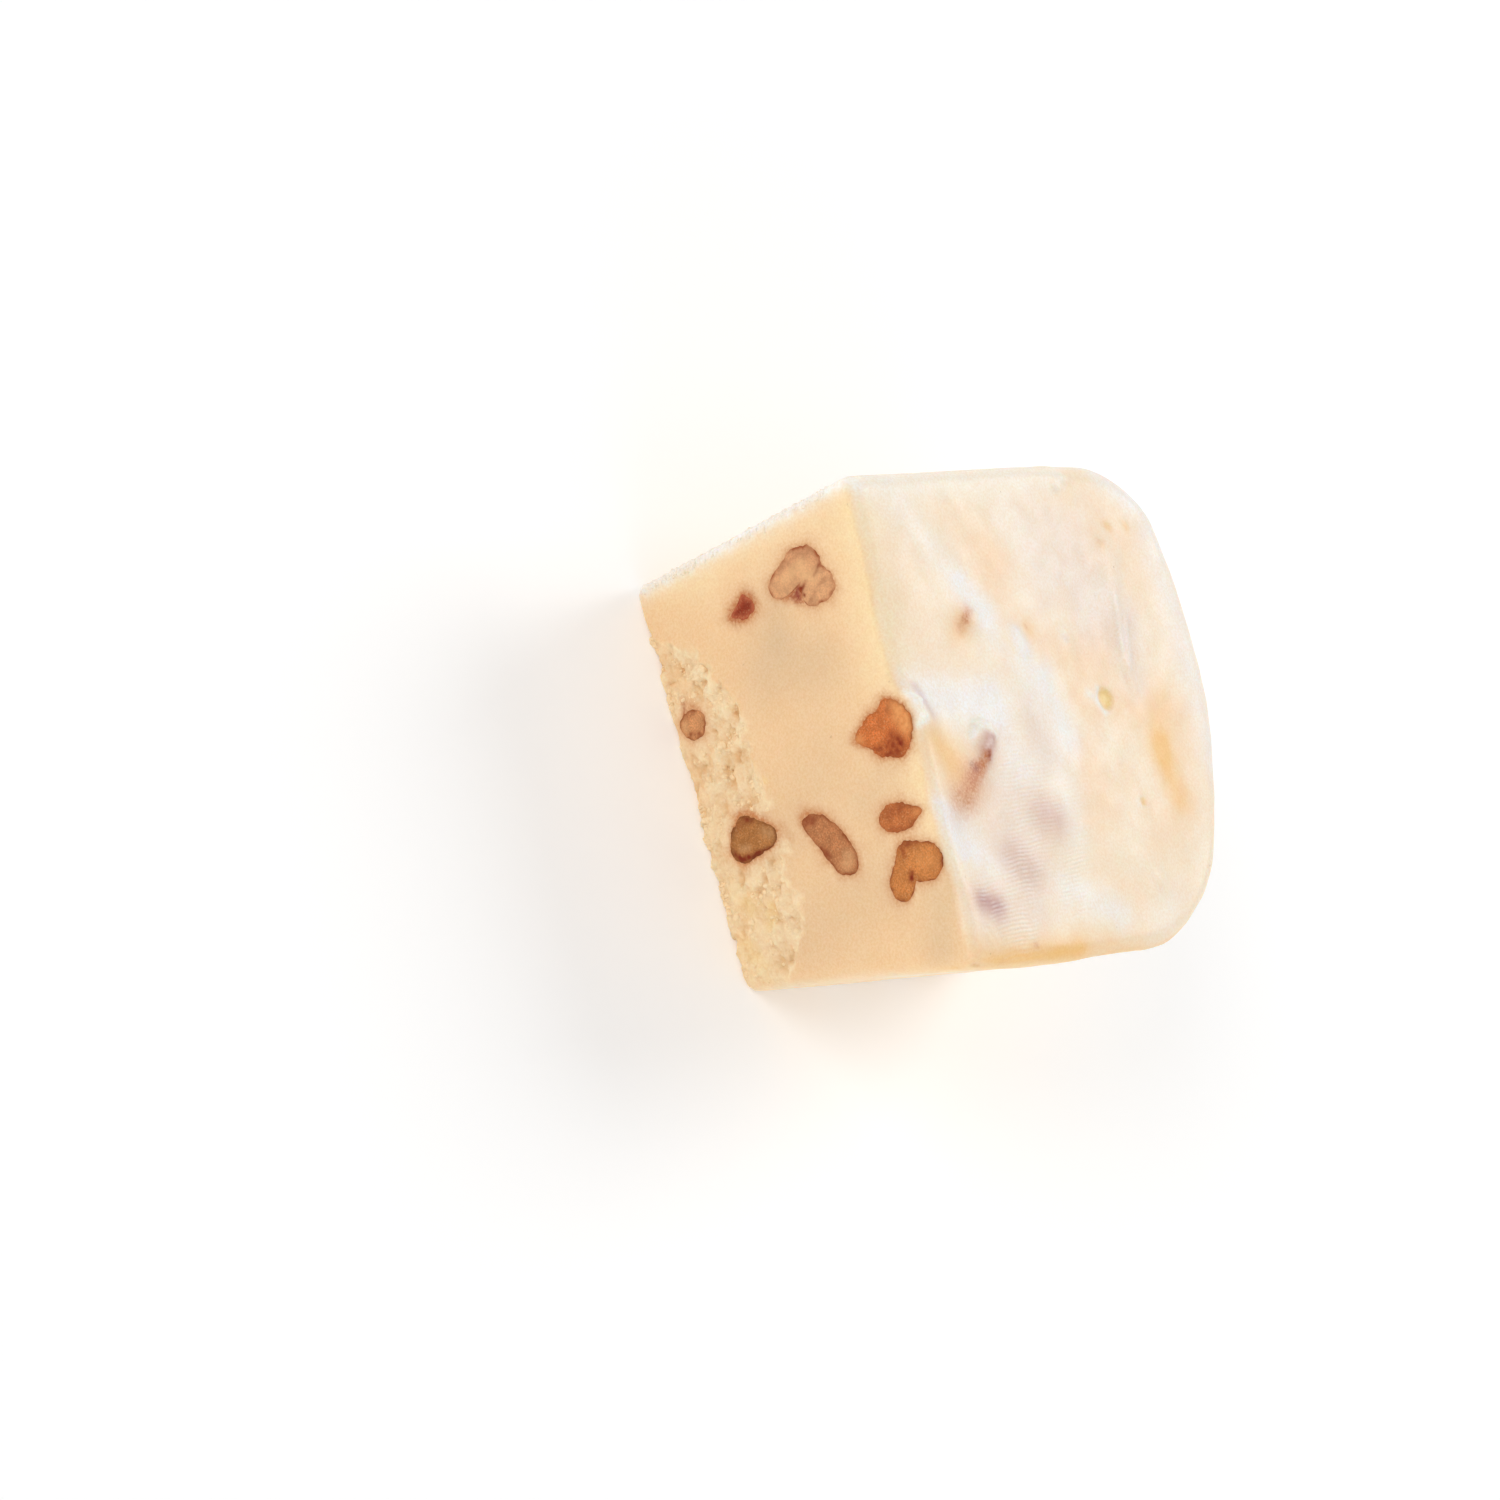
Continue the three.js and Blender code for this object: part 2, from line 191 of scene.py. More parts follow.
def round_max(a, b, radius):
    """Rounded meeting of two half spaces, from the signed distances to their faces."""
    over = np.hypot(np.maximum(a + radius, 0), np.maximum(b + radius, 0))
    return np.minimum(np.maximum(a, b), -radius) + over


def run_distance(x, y, start, end):
    """Distance in the plane from (x, y) to the straight run between two places."""
    run = np.subtract(end, start)
    along = ((x - start[0]) * run[0] + (y - start[1]) * run[1]) / np.dot(run, run)
    along = np.clip(along, 0, 1)
    return np.hypot(x - start[0] - along * run[0], y - start[1] - along * run[1])


def bell(distance, width=1.0):
    """1 at no distance, falling smoothly to almost 0 within twice the width."""
    return np.exp(-((distance / width) ** 2))


def soft_runs(x, y, runs):
    """Sum of soft ridges, each from one place to another with a height and a spread."""
    total = np.zeros(len(x))
    for from_x, from_y, to_x, to_y, height, spread in runs:
        total += height * bell(run_distance(x, y, (from_x, from_y), (to_x, to_y)), spread)
    return total


class GradientNoise:
    """Smooth noise of about -1 to 1 at points in space, the same on every run for one seed."""

    LATTICE = 256
    SPREAD = 1.7

    def __init__(self, seed):
        rng = np.random.default_rng(seed)
        self.order = np.tile(rng.permutation(self.LATTICE), 2)
        slopes = rng.normal(size=(self.LATTICE, 3))
        self.slopes = slopes / np.linalg.norm(slopes, axis=1, keepdims=True)

    def __call__(self, points, size):
        scaled = points / size
        cell = np.floor(scaled).astype(int)
        within = scaled - cell
        fade = within**3 * (within * (within * 6 - 15) + 10)
        total = np.zeros(len(points))
        for corner in itertools.product((0, 1), repeat=3):
            i, j, k = ((cell + corner) % self.LATTICE).T
            slope = self.slopes[self.order[self.order[self.order[i] + j] + k]]
            weight = np.prod(np.where(corner, fade, 1 - fade), axis=1)
            total += weight * np.sum(slope * (within - corner), axis=1)
        return total * self.SPREAD


def packed_crumbs(right, up, size, seed):
    """Rounded crumbs of about that size side by side: 0 in the gaps between them, 1 on the tallest."""
    patch = 64
    reach = 0.8
    rng = np.random.default_rng(seed)
    shifts = rng.random((patch, patch, 2))
    tallness = rng.uniform(0.35, 1.0, (patch, patch))
    places = np.stack([right, up], axis=1) / size
    cell = np.floor(places).astype(int)
    height = np.zeros(len(right))
    for step in itertools.product((-1, 0, 1), repeat=2):
        neighbour = cell + step
        i, j = (neighbour % patch).T
        away = np.linalg.norm(places - neighbour - shifts[i, j], axis=1) / reach
        height = np.maximum(height, tallness[i, j] * np.sqrt(np.clip(1 - away**2, 0, None)))
    return height


noise = GradientNoise(MESH_SEED)


def patches(points, size, none, full):
    """Patches of about that size: 0 where noise is below one value, 1 where it is above another."""
    return smooth_step(noise(points, size), none, full)


# The block's form

def skin_height(x, y):
    return HEIGHT - HEIGHT_FALL * x + soft_runs(x, y, SKIN_LUMPS)


def wall_line(y):
    return WALL["crest"] - WALL["fall"] * ((y - WALL["crest_at"]) / WALL["reach"]) ** 2


def back_line(x):
    return BACK["crest"] - BACK["fall"] * ((x - BACK["crest_at"]) / BACK["reach"]) ** 2


def block_distance(points):
    """Signed distance to the top and sides of the smooth block, negative inside."""
    x, y, z = points.T
    below = 1 - np.clip(z / HEIGHT, 0, 1)
    back = y - back_line(x) + BACK_LEAN * below
    wall_end = x - wall_line(y) + WALL_END_LEAN * below
    cut_end = CUT_END_X + CUT_END_LEAN * below - x
    cut_face = CUT_FACE_Y - y
    backness = smooth_step(y, 0, DEPTH / 2)
    top_radius = TOP_EDGE_FRONT + (TOP_EDGE_BACK - TOP_EDGE_FRONT) * backness

    distance = round_max(back, cut_end, BACK_CUT_CORNER)
    distance = round_max(distance, wall_end, BACK_WALL_CORNER)
    distance = round_max(distance, z - skin_height(x, y), top_radius)
    return round_max(distance, cut_face, CUT_FACE_EDGE)


def outward(points):
    """Outward directions of the smooth block at points on it."""
    step = 0.05
    slopes = []
    for axis in np.eye(3) * step:
        slopes.append(block_distance(points + axis) - block_distance(points - axis))
    slope = np.stack(slopes, axis=1)
    return slope / np.linalg.norm(slope, axis=1, keepdims=True)


def onto_block(points):
    """Moves points of the plain box on to the smooth block, along rays from the inner core."""
    low = np.array([-LENGTH / 2 + CORE_MARGIN, -DEPTH / 2 + CORE_MARGIN, -np.inf])
    high = np.array([LENGTH / 2 - CORE_MARGIN, DEPTH / 2 - CORE_MARGIN, HEIGHT - CORE_MARGIN])
    core = np.clip(points, low, high)
    ray = points - core
    inside = np.zeros(len(points))
    outside = np.full(len(points), 2.0)
    for _ in range(SEARCH_STEPS):
        middle = (inside + outside) / 2
        is_in = block_distance(core + ray * middle[:, None]) < 0
        inside = np.where(is_in, middle, inside)
        outside = np.where(is_in, outside, middle)
    return core + ray * inside[:, None]


def border(grid):
    """The outer entries of a grid, once round."""
    return np.concatenate([grid[0, :-1], grid[:-1, -1], grid[-1, :0:-1], grid[:0:-1, 0]])


def quads(numbers):
    """Four-cornered faces between the neighbours in a grid of point numbers."""
    corners = [numbers[:-1, :-1], numbers[:-1, 1:], numbers[1:, 1:], numbers[1:, :-1]]
    return np.stack([corner.ravel() for corner in corners], axis=1).tolist()


def box_grid():
    """Points and faces of a fine box: rings up its sides, a grid on top and one face below."""
    x = LENGTH * (np.arange(CELLS_X + 1) / CELLS_X - 0.5)
    y = DEPTH * (np.arange(CELLS_Y + 1) / CELLS_Y - 0.5)
    plan = np.stack([places.ravel() for places in np.meshgrid(x, y)], axis=1)
    spots = np.arange(len(plan)).reshape(CELLS_Y + 1, CELLS_X + 1)
    edge = border(spots)
    middle = spots[1:-1, 1:-1].ravel()

    left = (1 - np.arange(UPPER_ROWS + 1) / UPPER_ROWS) ** ROW_CROWDING
    band = BAND["height"] * np.arange(BAND_ROWS) / BAND_ROWS
    heights = np.concatenate([band, HEIGHT + (BAND["height"] - HEIGHT) * left])
    sides = np.column_stack([np.tile(plan[edge], (len(heights), 1)), np.repeat(heights, len(edge))])
    inner = np.column_stack([plan[middle], np.full(len(middle), HEIGHT)])

    rings = np.arange(len(sides)).reshape(len(heights), len(edge))
    on_top = np.empty(len(plan), int)
    on_top[edge] = rings[-1]
    on_top[middle] = len(sides) + np.arange(len(middle))
    closed_rings = np.column_stack([rings, rings[:, 0]])
    base_face = rings[0, ::-1].tolist()
    faces = quads(closed_rings) + quads(on_top[spots]) + [base_face]
    return np.concatenate([sides, inner]), faces


# What roughens the surface

def face_places(points, face):
    """Places on a cut face: to the right and up from its foot."""
    from_foot = points - face["foot"]
    return from_foot @ face["right"], from_foot @ face["up"]


def noise_places(right, up, face):
    """Places on a cut face as points for noise, apart from those of the other face."""
    return np.stack([right, up, np.full(len(right), float(face["seed"]))], axis=1)


def bent_places(right, up, face):
    """Places on a cut face, bent by noise so that crumbs and pits come out uneven."""
    flat = noise_places(right, up, face)
    bend_right = CRUMBS["bend"] * noise(flat, CRUMBS["bend_size"])
    bend_up = CRUMBS["bend"] * noise(flat + LENGTH, CRUMBS["bend_size"])
    return right + bend_right, up + bend_up


def drifted(points):
    """Places in plan, bent by noise so that what is laid out with them isn't straight."""
    shift_x = SKIN_DRIFT["reach"] * noise(points, SKIN_DRIFT["size"])
    shift_y = SKIN_DRIFT["reach"] * noise(points + LENGTH, SKIN_DRIFT["size"])
    return points[:, 0] + shift_x, points[:, 1] + shift_y


def band_depth(right, up, face):
    """How far a place lies below the ragged upper edge of a cut face's band."""
    band = face["band"]
    reach = np.abs((right - band["middle"]) / band["half_length"])
    flat = noise_places(right, up, face)
    fringe = BAND["fringe"] * noise(flat, BAND["fringe_size"])
    wander = BAND["wander"] * (noise(flat, BAND["wander_size"]) + fringe)
    edge = (BAND["height"] + band["rise"] * right) * (1 - reach ** BAND["squareness"]) + wander
    return edge - up


def torn_share(right, up, face):
    """1 just below the torn band's ragged edge, less lower down and at its calm end, 0 above it."""
    depth = band_depth(right, up, face)
    below = 1 - BAND["calm"] * smooth_step(depth, *BAND["calm_depths"])
    along = 1 - BAND["calm"] * smooth_step(right, *face["band"]["calm"])
    return below * along * smooth_step(depth, -BAND["softness"], BAND["softness"])


def pits_of(face):
    """Places, radii and depths of the pits in a cut face's band: many small ones, then the large."""
    rng = np.random.default_rng(face["seed"])
    band = face["band"]
    count = PITS["count"]
    right = band["middle"] + band["half_length"] * rng.uniform(-PITS["across"], PITS["across"], count)
    up = rng.uniform(PITS["lowest"], BAND["height"] + PITS["above"], count)
    smallest, largest = PITS["radii"]
    radius = smallest + (largest - smallest) * rng.random(count) ** PITS["smallness"]
    depth = radius * rng.uniform(*PITS["steepness"], count)
    pits = np.stack([right, up, radius, depth], axis=1)
    large = np.array([(*pit, PITS["large_steepness"] * pit[-1]) for pit in face["pits"]])
    return np.concatenate([pits, large])


def pit_depths(right, up, face):
    total = np.zeros(len(right))
    for pit_right, pit_up, radius, depth in pits_of(face):
        away = np.hypot(right - pit_right, up - pit_up) / radius
        total = np.maximum(total, depth * smooth_step(away, *PITS["wall"]))
    return total


def crumb_relief(right, up, face):
    """Height of the crumbs in the band, about 0 on average."""
    coarse = packed_crumbs(right, up, CRUMBS["coarse"], face["seed"] + 10)
    fine = packed_crumbs(right, up, CRUMBS["fine"], face["seed"] + 20)
    return CRUMBS["coarse_height"] * (coarse - 0.5) + CRUMBS["fine_height"] * (fine - 0.5)


def band_relief(right, up, face):
    """Relief of a cut face: crumbs and pits in the torn band, and a lip along its upper edge."""
    depth = band_depth(right, up, face)
    bent = bent_places(right, up, face)
    crumbs = np.minimum(crumb_relief(*bent, face) - BAND["depth"], CRUMBS["highest"])
    torn = torn_share(right, up, face) * (crumbs - pit_depths(*bent, face))
    lip = LIP["height"] * bell(depth / LIP["width"] + 1)
    cling = bell(nut_gap(right, up, face), NUT_CLING)
    return (torn + lip) * (1 - cling)


def bubble_relief(x, y):
    """Burst bubbles of the skin, each a round pit with a low rim."""
    total = np.zeros(len(x))
    for (at_x, at_y), radius, depth in BUBBLES:
        away = np.hypot(x - at_x, y - at_y) / radius
        total -= depth * smooth_step(away, *BUBBLE_WALL)
        total += BUBBLE_RIM["height"] * depth * bell(away - BUBBLE_RIM["at"], BUBBLE_RIM["width"])
    return total


def dent_shares(points):
    """1 in the dents of the moulded sides and 0 between them, and the same for their pinholes."""
    dents = patches(points * DENTS["stretch"], DENTS["size"], *DENTS["range"])
    pinholes = patches(points + DEPTH, PINHOLES["size"], *PINHOLES["range"])
    return dents, pinholes


def face_shares(directions):
    """Shares of the top, the two cut faces, the moulded end and the back in each surface point."""
    sides = np.stack([(0, 0, 1), FRONT_FACE["out"], END_FACE["out"], (1, 0, 0), (0, 1, 0)])
    nearness = np.clip(directions @ sides.T, 0, None) * SIDE_REACH
    weights = nearness ** SHARE_CRISPNESS
    return (weights / weights.sum(axis=1, keepdims=True)).T


def surface_relief(points, directions):
    """How far the surface stands out of the smooth block, along its outward direction."""
    top, front, end, wall, back = face_shares(directions)
    wave = SKIN_WAVE["height"] * noise(points, SKIN_WAVE["size"])
    ripple = SKIN_RIPPLE["height"] * noise(points, SKIN_RIPPLE["size"])
    x, y = drifted(points)
    relief = top * (wave + ripple + soft_runs(x, y, FINE_LUMPS) + bubble_relief(x, y))
    dents, pinholes = dent_shares(points)
    moulded = SIDE_WAVE * wave + ripple - DENTS["depth"] * dents - PINHOLES["depth"] * pinholes
    relief += (wall + back) * moulded
    for face, share in zip(CUT_FACES, (front, end)):
        relief += share * band_relief(*face_places(points, face), face)
    return relief


def base_inset(points):
    """How far the sides draw in where they round under to the ragged base."""
    z = points[:, 2]
    left = np.clip(1 - z / BASE_EDGE, 0, 1)
    ragged = BASE_RAG["depth"] * np.clip(noise(points, BASE_RAG["size"]), 0, 1)
    return BASE_EDGE * (1 - np.sqrt(1 - left**2)) + ragged * smooth_step(z, BASE_RAG["height"], 0)


def block_surface():
    """Points and faces of the block with all its relief, before the pockets are cut."""
    box_points, faces = box_grid()
    points = onto_block(box_points)
    directions = outward(points)
    low = points[:, 2] < 2 * BASE_EDGE
    directions[low, 2] = 0
    moved = surface_relief(points, directions) - base_inset(points)
    return points + directions * moved[:, None], faces


# Meshes

def make_object(name, points, faces):
    mesh = bpy.data.meshes.new(name)
    mesh.from_pydata((np.asarray(points) * MM).tolist(), [], faces)
    mesh.validate()
    mesh.shade_smooth()
    obj = bpy.data.objects.new(name, mesh)
    bpy.context.scene.collection.objects.link(obj)
    return obj


def points_of(obj):
    flat = np.empty(len(obj.data.vertices) * 3)
    obj.data.vertices.foreach_get("co", flat)
    return flat.reshape(-1, 3) / MM


def add_values(obj, name, values):
    """Stores one number a point on the mesh, for its material."""
    attribute = obj.data.attributes.new(name, "FLOAT", "POINT")
    attribute.data.foreach_set("value", np.clip(values, 0, 1).astype(np.float32))


# Pecan pieces

PECAN_SIDES = 96
CUT_RINGS = 22  # rings of points on the cut face, from its middle to the skin
BOWL_RINGS = 12
POCKET_RINGS = 4
OUTLINE_NOISE = ((0.20, 1.3), (0.15, 0.5))  # height and size of the steps along an outline
CUT_NOISE = ((0.05, 0.45), (0.07, 1.4))  # height and size of the unevenness of a nut's cut
EVEN_EDGE = 0.4  # the cut evens out this near its outline
ON_CUT = 0.05  # points this near the outermost ones belong to the cut
NOISE_LAYER = 3.7  # how far apart in the noise two nuts are taken
PECAN_PROUD = 0.04  # how far a nut stands out of the cut
DARK_SKIN = 0.22  # the nut's dark skin round its outline
POCKET_GROWTH = -0.03  # the pocket is a little narrower, so that no dark gap shows
POCKET_MOUTH = 1.5


def spokes_from(middle, flat):
    """The other points as seen from one of them, and their directions."""
    spokes = flat[np.linalg.norm(flat - middle, axis=1) > 2 * ON_CUT] - middle
    return spokes, np.arctan2(spokes[:, 1], spokes[:, 0])


def spoke_unevenness(middle, flat):
    """How unevenly the other points are turned round a point, about 0 for the middle of an outline."""
    _, turns = spokes_from(middle, flat)
    return np.std(np.diff(np.sort(turns)))


def cut_outline(number, face):
    """Middle of a nut's cut, its outline's reach at even angles and the nut's depth, from its solid."""
    points = points_of(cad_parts[f"pecan_{number}"])
    right, up = face_places(points, face)
    out = (points - face["foot"]) @ face["out"]
    on_cut = out > out.max() - ON_CUT
    flat = np.unique(np.round(np.stack([right, up], axis=1)[on_cut], 3), axis=0)
    middle = min(flat, key=lambda place: spoke_unevenness(place, flat))
    spokes, turns = spokes_from(middle, flat)
    half_step = math.pi / len(spokes)
    order = np.argsort((turns + half_step) % (2 * math.pi))
    return middle, np.linalg.norm(spokes[order], axis=1), out.max() - out.min()


def finer_outline(reach, number):
    """The outline at more angles, with small uneven steps along it."""
    waves = np.fft.rfft(reach)
    fine = np.fft.irfft(waves, PECAN_SIDES) * PECAN_SIDES / len(reach)
    angles = 2 * math.pi * np.arange(PECAN_SIDES) / PECAN_SIDES
    layer = np.full(PECAN_SIDES, NOISE_LAYER * number)
    edge = np.stack([fine * np.cos(angles), fine * np.sin(angles), layer], axis=1)
    outline = fine + DARK_SKIN
    for height, size in OUTLINE_NOISE:
        outline = outline + height * noise(edge, size)
    return angles, outline


def measure_pecans():
    """The cut of every nut: the face it lies on, its middle, outline and depth."""
    cuts = {}
    for face in CUT_FACES:
        for number in face["pecans"]:
            middle, reach, depth = cut_outline(number, face)
            angles, outline = finer_outline(reach, number)
            cuts[number] = {"face": face, "middle": middle, "depth": depth}
            cuts[number].update({"angles": angles, "outline": outline})
    return cuts


def outline_gap(right, up, cut):
    """Distance from places on a cut face to a nut's outline, negative inside it."""
    away_right = right - cut["middle"][0]
    away_up = up - cut["middle"][1]
    angle = np.arctan2(away_up, away_right) % (2 * math.pi)
    edge = np.interp(angle, cut["angles"], cut["outline"], period=2 * math.pi)
    return np.hypot(away_right, away_up) - edge


def nut_gap(right, up, face):
    """Distance from places on a cut face to the nearest nut, 0 inside one."""
    gaps = [outline_gap(right, up, pecan_cuts[number]) for number in face["pecans"]]
    return np.maximum(np.min(gaps, axis=0), 0)


def pecan_rings(depth, bowl_rings):
    """Share of the outline's reach and height of each ring, from the cut face's middle to the tip."""
    cut = [((ring + 1) / CUT_RINGS, 0.0) for ring in range(CUT_RINGS)]
    bowl = []
    for ring in range(1, bowl_rings):
        share = ring / bowl_rings
        bowl.append((math.sqrt(1 - share**2), -depth * share))
    return cut + bowl


def revolve(angles, outline, rings, cut, first_height, tip_depth):
    """A closed solid from rings of points round a nut's middle, in the part's frame."""
    flat = [np.array([[0.0, 0.0, first_height]])]
    for share, height in rings:
        ring_x = share * outline * np.cos(angles)
        ring_y = share * outline * np.sin(angles)
        flat.append(np.stack([ring_x, ring_y, np.full(len(angles), height)], axis=1))
    flat.append(np.array([[0.0, 0.0, -tip_depth]]))
    flat = np.concatenate(flat)
    sides = len(angles)
    tip = len(flat) - 1
    faces = []
    for side in range(sides):
        following = (side + 1) % sides
        faces.append([0, 1 + side, 1 + following])
        for ring in range(len(rings) - 1):
            upper = 1 + ring * sides
            lower = upper + sides
            faces.append([upper + side, lower + side, lower + following, upper + following])
        last = 1 + (len(rings) - 1) * sides
        faces.append([last + side, tip, last + following])
    face = cut["face"]
    axes = np.stack([face["right"], face["up"], face["out"]])
    place = face["foot"] + cut["middle"][0] * face["right"] + cut["middle"][1] * face["up"]
    return flat, place + flat @ axes, faces


def rim_line(points, inside, strength, width):
    """The dark rim along a nut's outline: a thin line with a faint wider one, patchy along its length."""
    patchy = smooth_step(noise(points, 1.2) + 0.5 * noise(points, 0.5), -0.5, 0.4)
    line = 0.85 * bell(inside, width) + 0.15 * bell(inside, 3 * width)
    return strength * line * (0.35 + 0.65 * patchy)


def make_pecan(number, cut, look):
    """A nut with an uneven cut, marked with its rim and its dark and pale places."""
    rings = pecan_rings(cut["depth"], BOWL_RINGS)
    flat, points, faces = revolve(cut["angles"], cut["outline"], rings, cut, 0.0, cut["depth"])
    on_cut = flat[:, 2] >= 0
    right, up = face_places(points, cut["face"])
    inside = np.where(on_cut, np.maximum(-outline_gap(right, up, cut), 0), 0)
    uneven = sum(height * noise(points, size) for height, size in CUT_NOISE)
    lift = PECAN_PROUD + uneven * smooth_step(inside, 0.0, EVEN_EDGE)
    piece = make_object(f"pecan_piece_{number}", points + lift[:, None] * cut["face"]["out"], faces)
    piece.data.set_sharp_from_angle(angle=CREASE)
    add_values(piece, "rim", rim_line(points, inside, *look["rim"]))
    blotchy = 1 + 0.6 * noise(points, 0.5)
    for name in ("dark", "pale"):
        add_values(piece, name, soft_runs(right, up, look.get(name, [])) * blotchy)
    return piece


def make_pocket(number, cut):
    """Cutter for the hollow that a nut sits in."""
    bowl = pecan_rings(cut["depth"], POCKET_RINGS)[1 - POCKET_RINGS:]
    rings = [(1.0, POCKET_MOUTH)] + bowl
    outline = cut["outline"] + POCKET_GROWTH
    _, points, faces = revolve(cut["angles"], outline, rings, cut, POCKET_MOUTH, cut["depth"])
    return make_object(f"pocket_{number}", points, faces)


# The block, with a pocket for every nut

def cut_pockets(block, pockets):
    """Cuts every pocket out of the block's mesh, and removes the cutters."""
    collection = bpy.data.collections.new("pockets")
    bpy.context.scene.collection.children.link(collection)
    for pocket in pockets:
        bpy.context.scene.collection.objects.unlink(pocket)
        collection.objects.link(pocket)
    cut = block.modifiers.new("pockets", "BOOLEAN")
    cut.operation = "DIFFERENCE"
    cut.solver = "MANIFOLD"
    cut.operand_type = "COLLECTION"
    cut.collection = collection
    shown = block.evaluated_get(bpy.context.evaluated_depsgraph_get())
    mesh = bpy.data.meshes.new_from_object(shown)
    block.modifiers.clear()
    old_mesh = block.data
    block.data = mesh
    bpy.data.meshes.remove(old_mesh)
    for pocket in pockets:
        bpy.data.meshes.remove(pocket.data)
    bpy.data.collections.remove(collection)


# Loose crumbs that stick to the torn bands, the cut corner and the foot

CRUMB_SEED = 23
BAND_CRUMBS = {"count": 800, "radii": (0.10, 0.50)}
CORNER_CRUMBS = {"count": 420, "radii": (0.10, 0.34)}
FOOT_CRUMBS = {"count": 300, "radii": (0.14, 0.50)}
FOOT_HEIGHT = 0.9
SUNK = 0.5  # share of its radius that a crumb is set in
CORNER_TOP = 3.0  # how far below the slab's top the corner's crumbs end
FROST_REACH = 1.6  # how far the pale, frosty cut corner reaches
CLUSTERS = {"size": 2.4, "range": (-0.1, 0.5)}
NUT_CLEARANCE = (0.6, 1.8)  # round a nut: no crumbs up to here, and all of them from here on
CRUMB_STRETCH = (0.65, 1.35)
CRUMB_BUMPS = {"height": 0.45, "size": 0.9, "apart": 7.3}


def corner_nearness(points):
    """1 on the upright edge where the two cut faces meet, falling to 0 away from it."""
    x, y, z = points.T
    edge_x = CUT_END_X + CUT_END_LEAN * (1 - np.clip(z / HEIGHT, 0, 1))
    away = np.maximum(x - edge_x, y - CUT_FACE_Y)
    return bell(away, FROST_REACH)


def crumb_ball():
    """Points and faces of the round lump that every crumb is shaped from."""
    ball = bmesh.new()
    bmesh.ops.create_icosphere(ball, subdivisions=2, radius=1.0)
    points = np.array([vertex.co for vertex in ball.verts])
    faces = np.array([[vertex.index for vertex in face.verts] for face in ball.faces])
    ball.free()
    return points, faces


def lumps_at(places, radii, rng):
    """Uneven lumps of the given radii, all in one set of points and faces."""
    ball, ball_faces = crumb_ball()
    points = []
    faces = []
    for number, (place, radius) in enumerate(zip(places, radii)):
        stretch = rng.uniform(*CRUMB_STRETCH, 3)
        own_noise = noise(ball + CRUMB_BUMPS["apart"] * number, CRUMB_BUMPS["size"])
        bumps = 1 + CRUMB_BUMPS["height"] * own_noise
        points.append(place + radius * stretch * ball * bumps[:, None])
        faces.append(ball_faces + number * len(ball))
    return np.concatenate(points), np.concatenate(faces)


def make_crumbs(block_points):
    """All loose crumbs in one piece, strewn over points of the block."""
    rng = np.random.default_rng(CRUMB_SEED)
    directions = outward(block_points)
    _, front, end, _, _ = face_shares(directions)
    clusters = patches(block_points, CLUSTERS["size"], *CLUSTERS["range"])
    torn = np.zeros(len(block_points))
    for face, share in zip(CUT_FACES, (front, end)):
        right, up = face_places(block_points, face)
        clear = smooth_step(nut_gap(right, up, face), *NUT_CLEARANCE)
        torn += share * torn_share(right, up, face) * clear * clusters
    corner = corner_nearness(block_points) * (block_points[:, 2] < HEIGHT - CORNER_TOP)
    foot = (front + end) * (block_points[:, 2] < FOOT_HEIGHT) * clusters
    places = []
    radii = []
    for kind, weight in ((BAND_CRUMBS, torn), (CORNER_CRUMBS, corner**4), (FOOT_CRUMBS, foot)):
        smallest, largest = kind["radii"]
        chosen = rng.choice(len(block_points), kind["count"], replace=False, p=weight / weight.sum())
        radius = smallest + (largest - smallest) * rng.random(kind["count"]) ** 3
        places.append(block_points[chosen] - SUNK * radius[:, None] * directions[chosen])
        radii.append(radius)
    points, faces = lumps_at(np.concatenate(places), np.concatenate(radii), rng)
    points[:, 2] = np.maximum(points[:, 2], 0)
    crumbs = make_object("fudge_crumbs", points, faces.tolist())
    add_values(crumbs, "frost_and_painted_highlight", corner_nearness(points))
    return crumbs


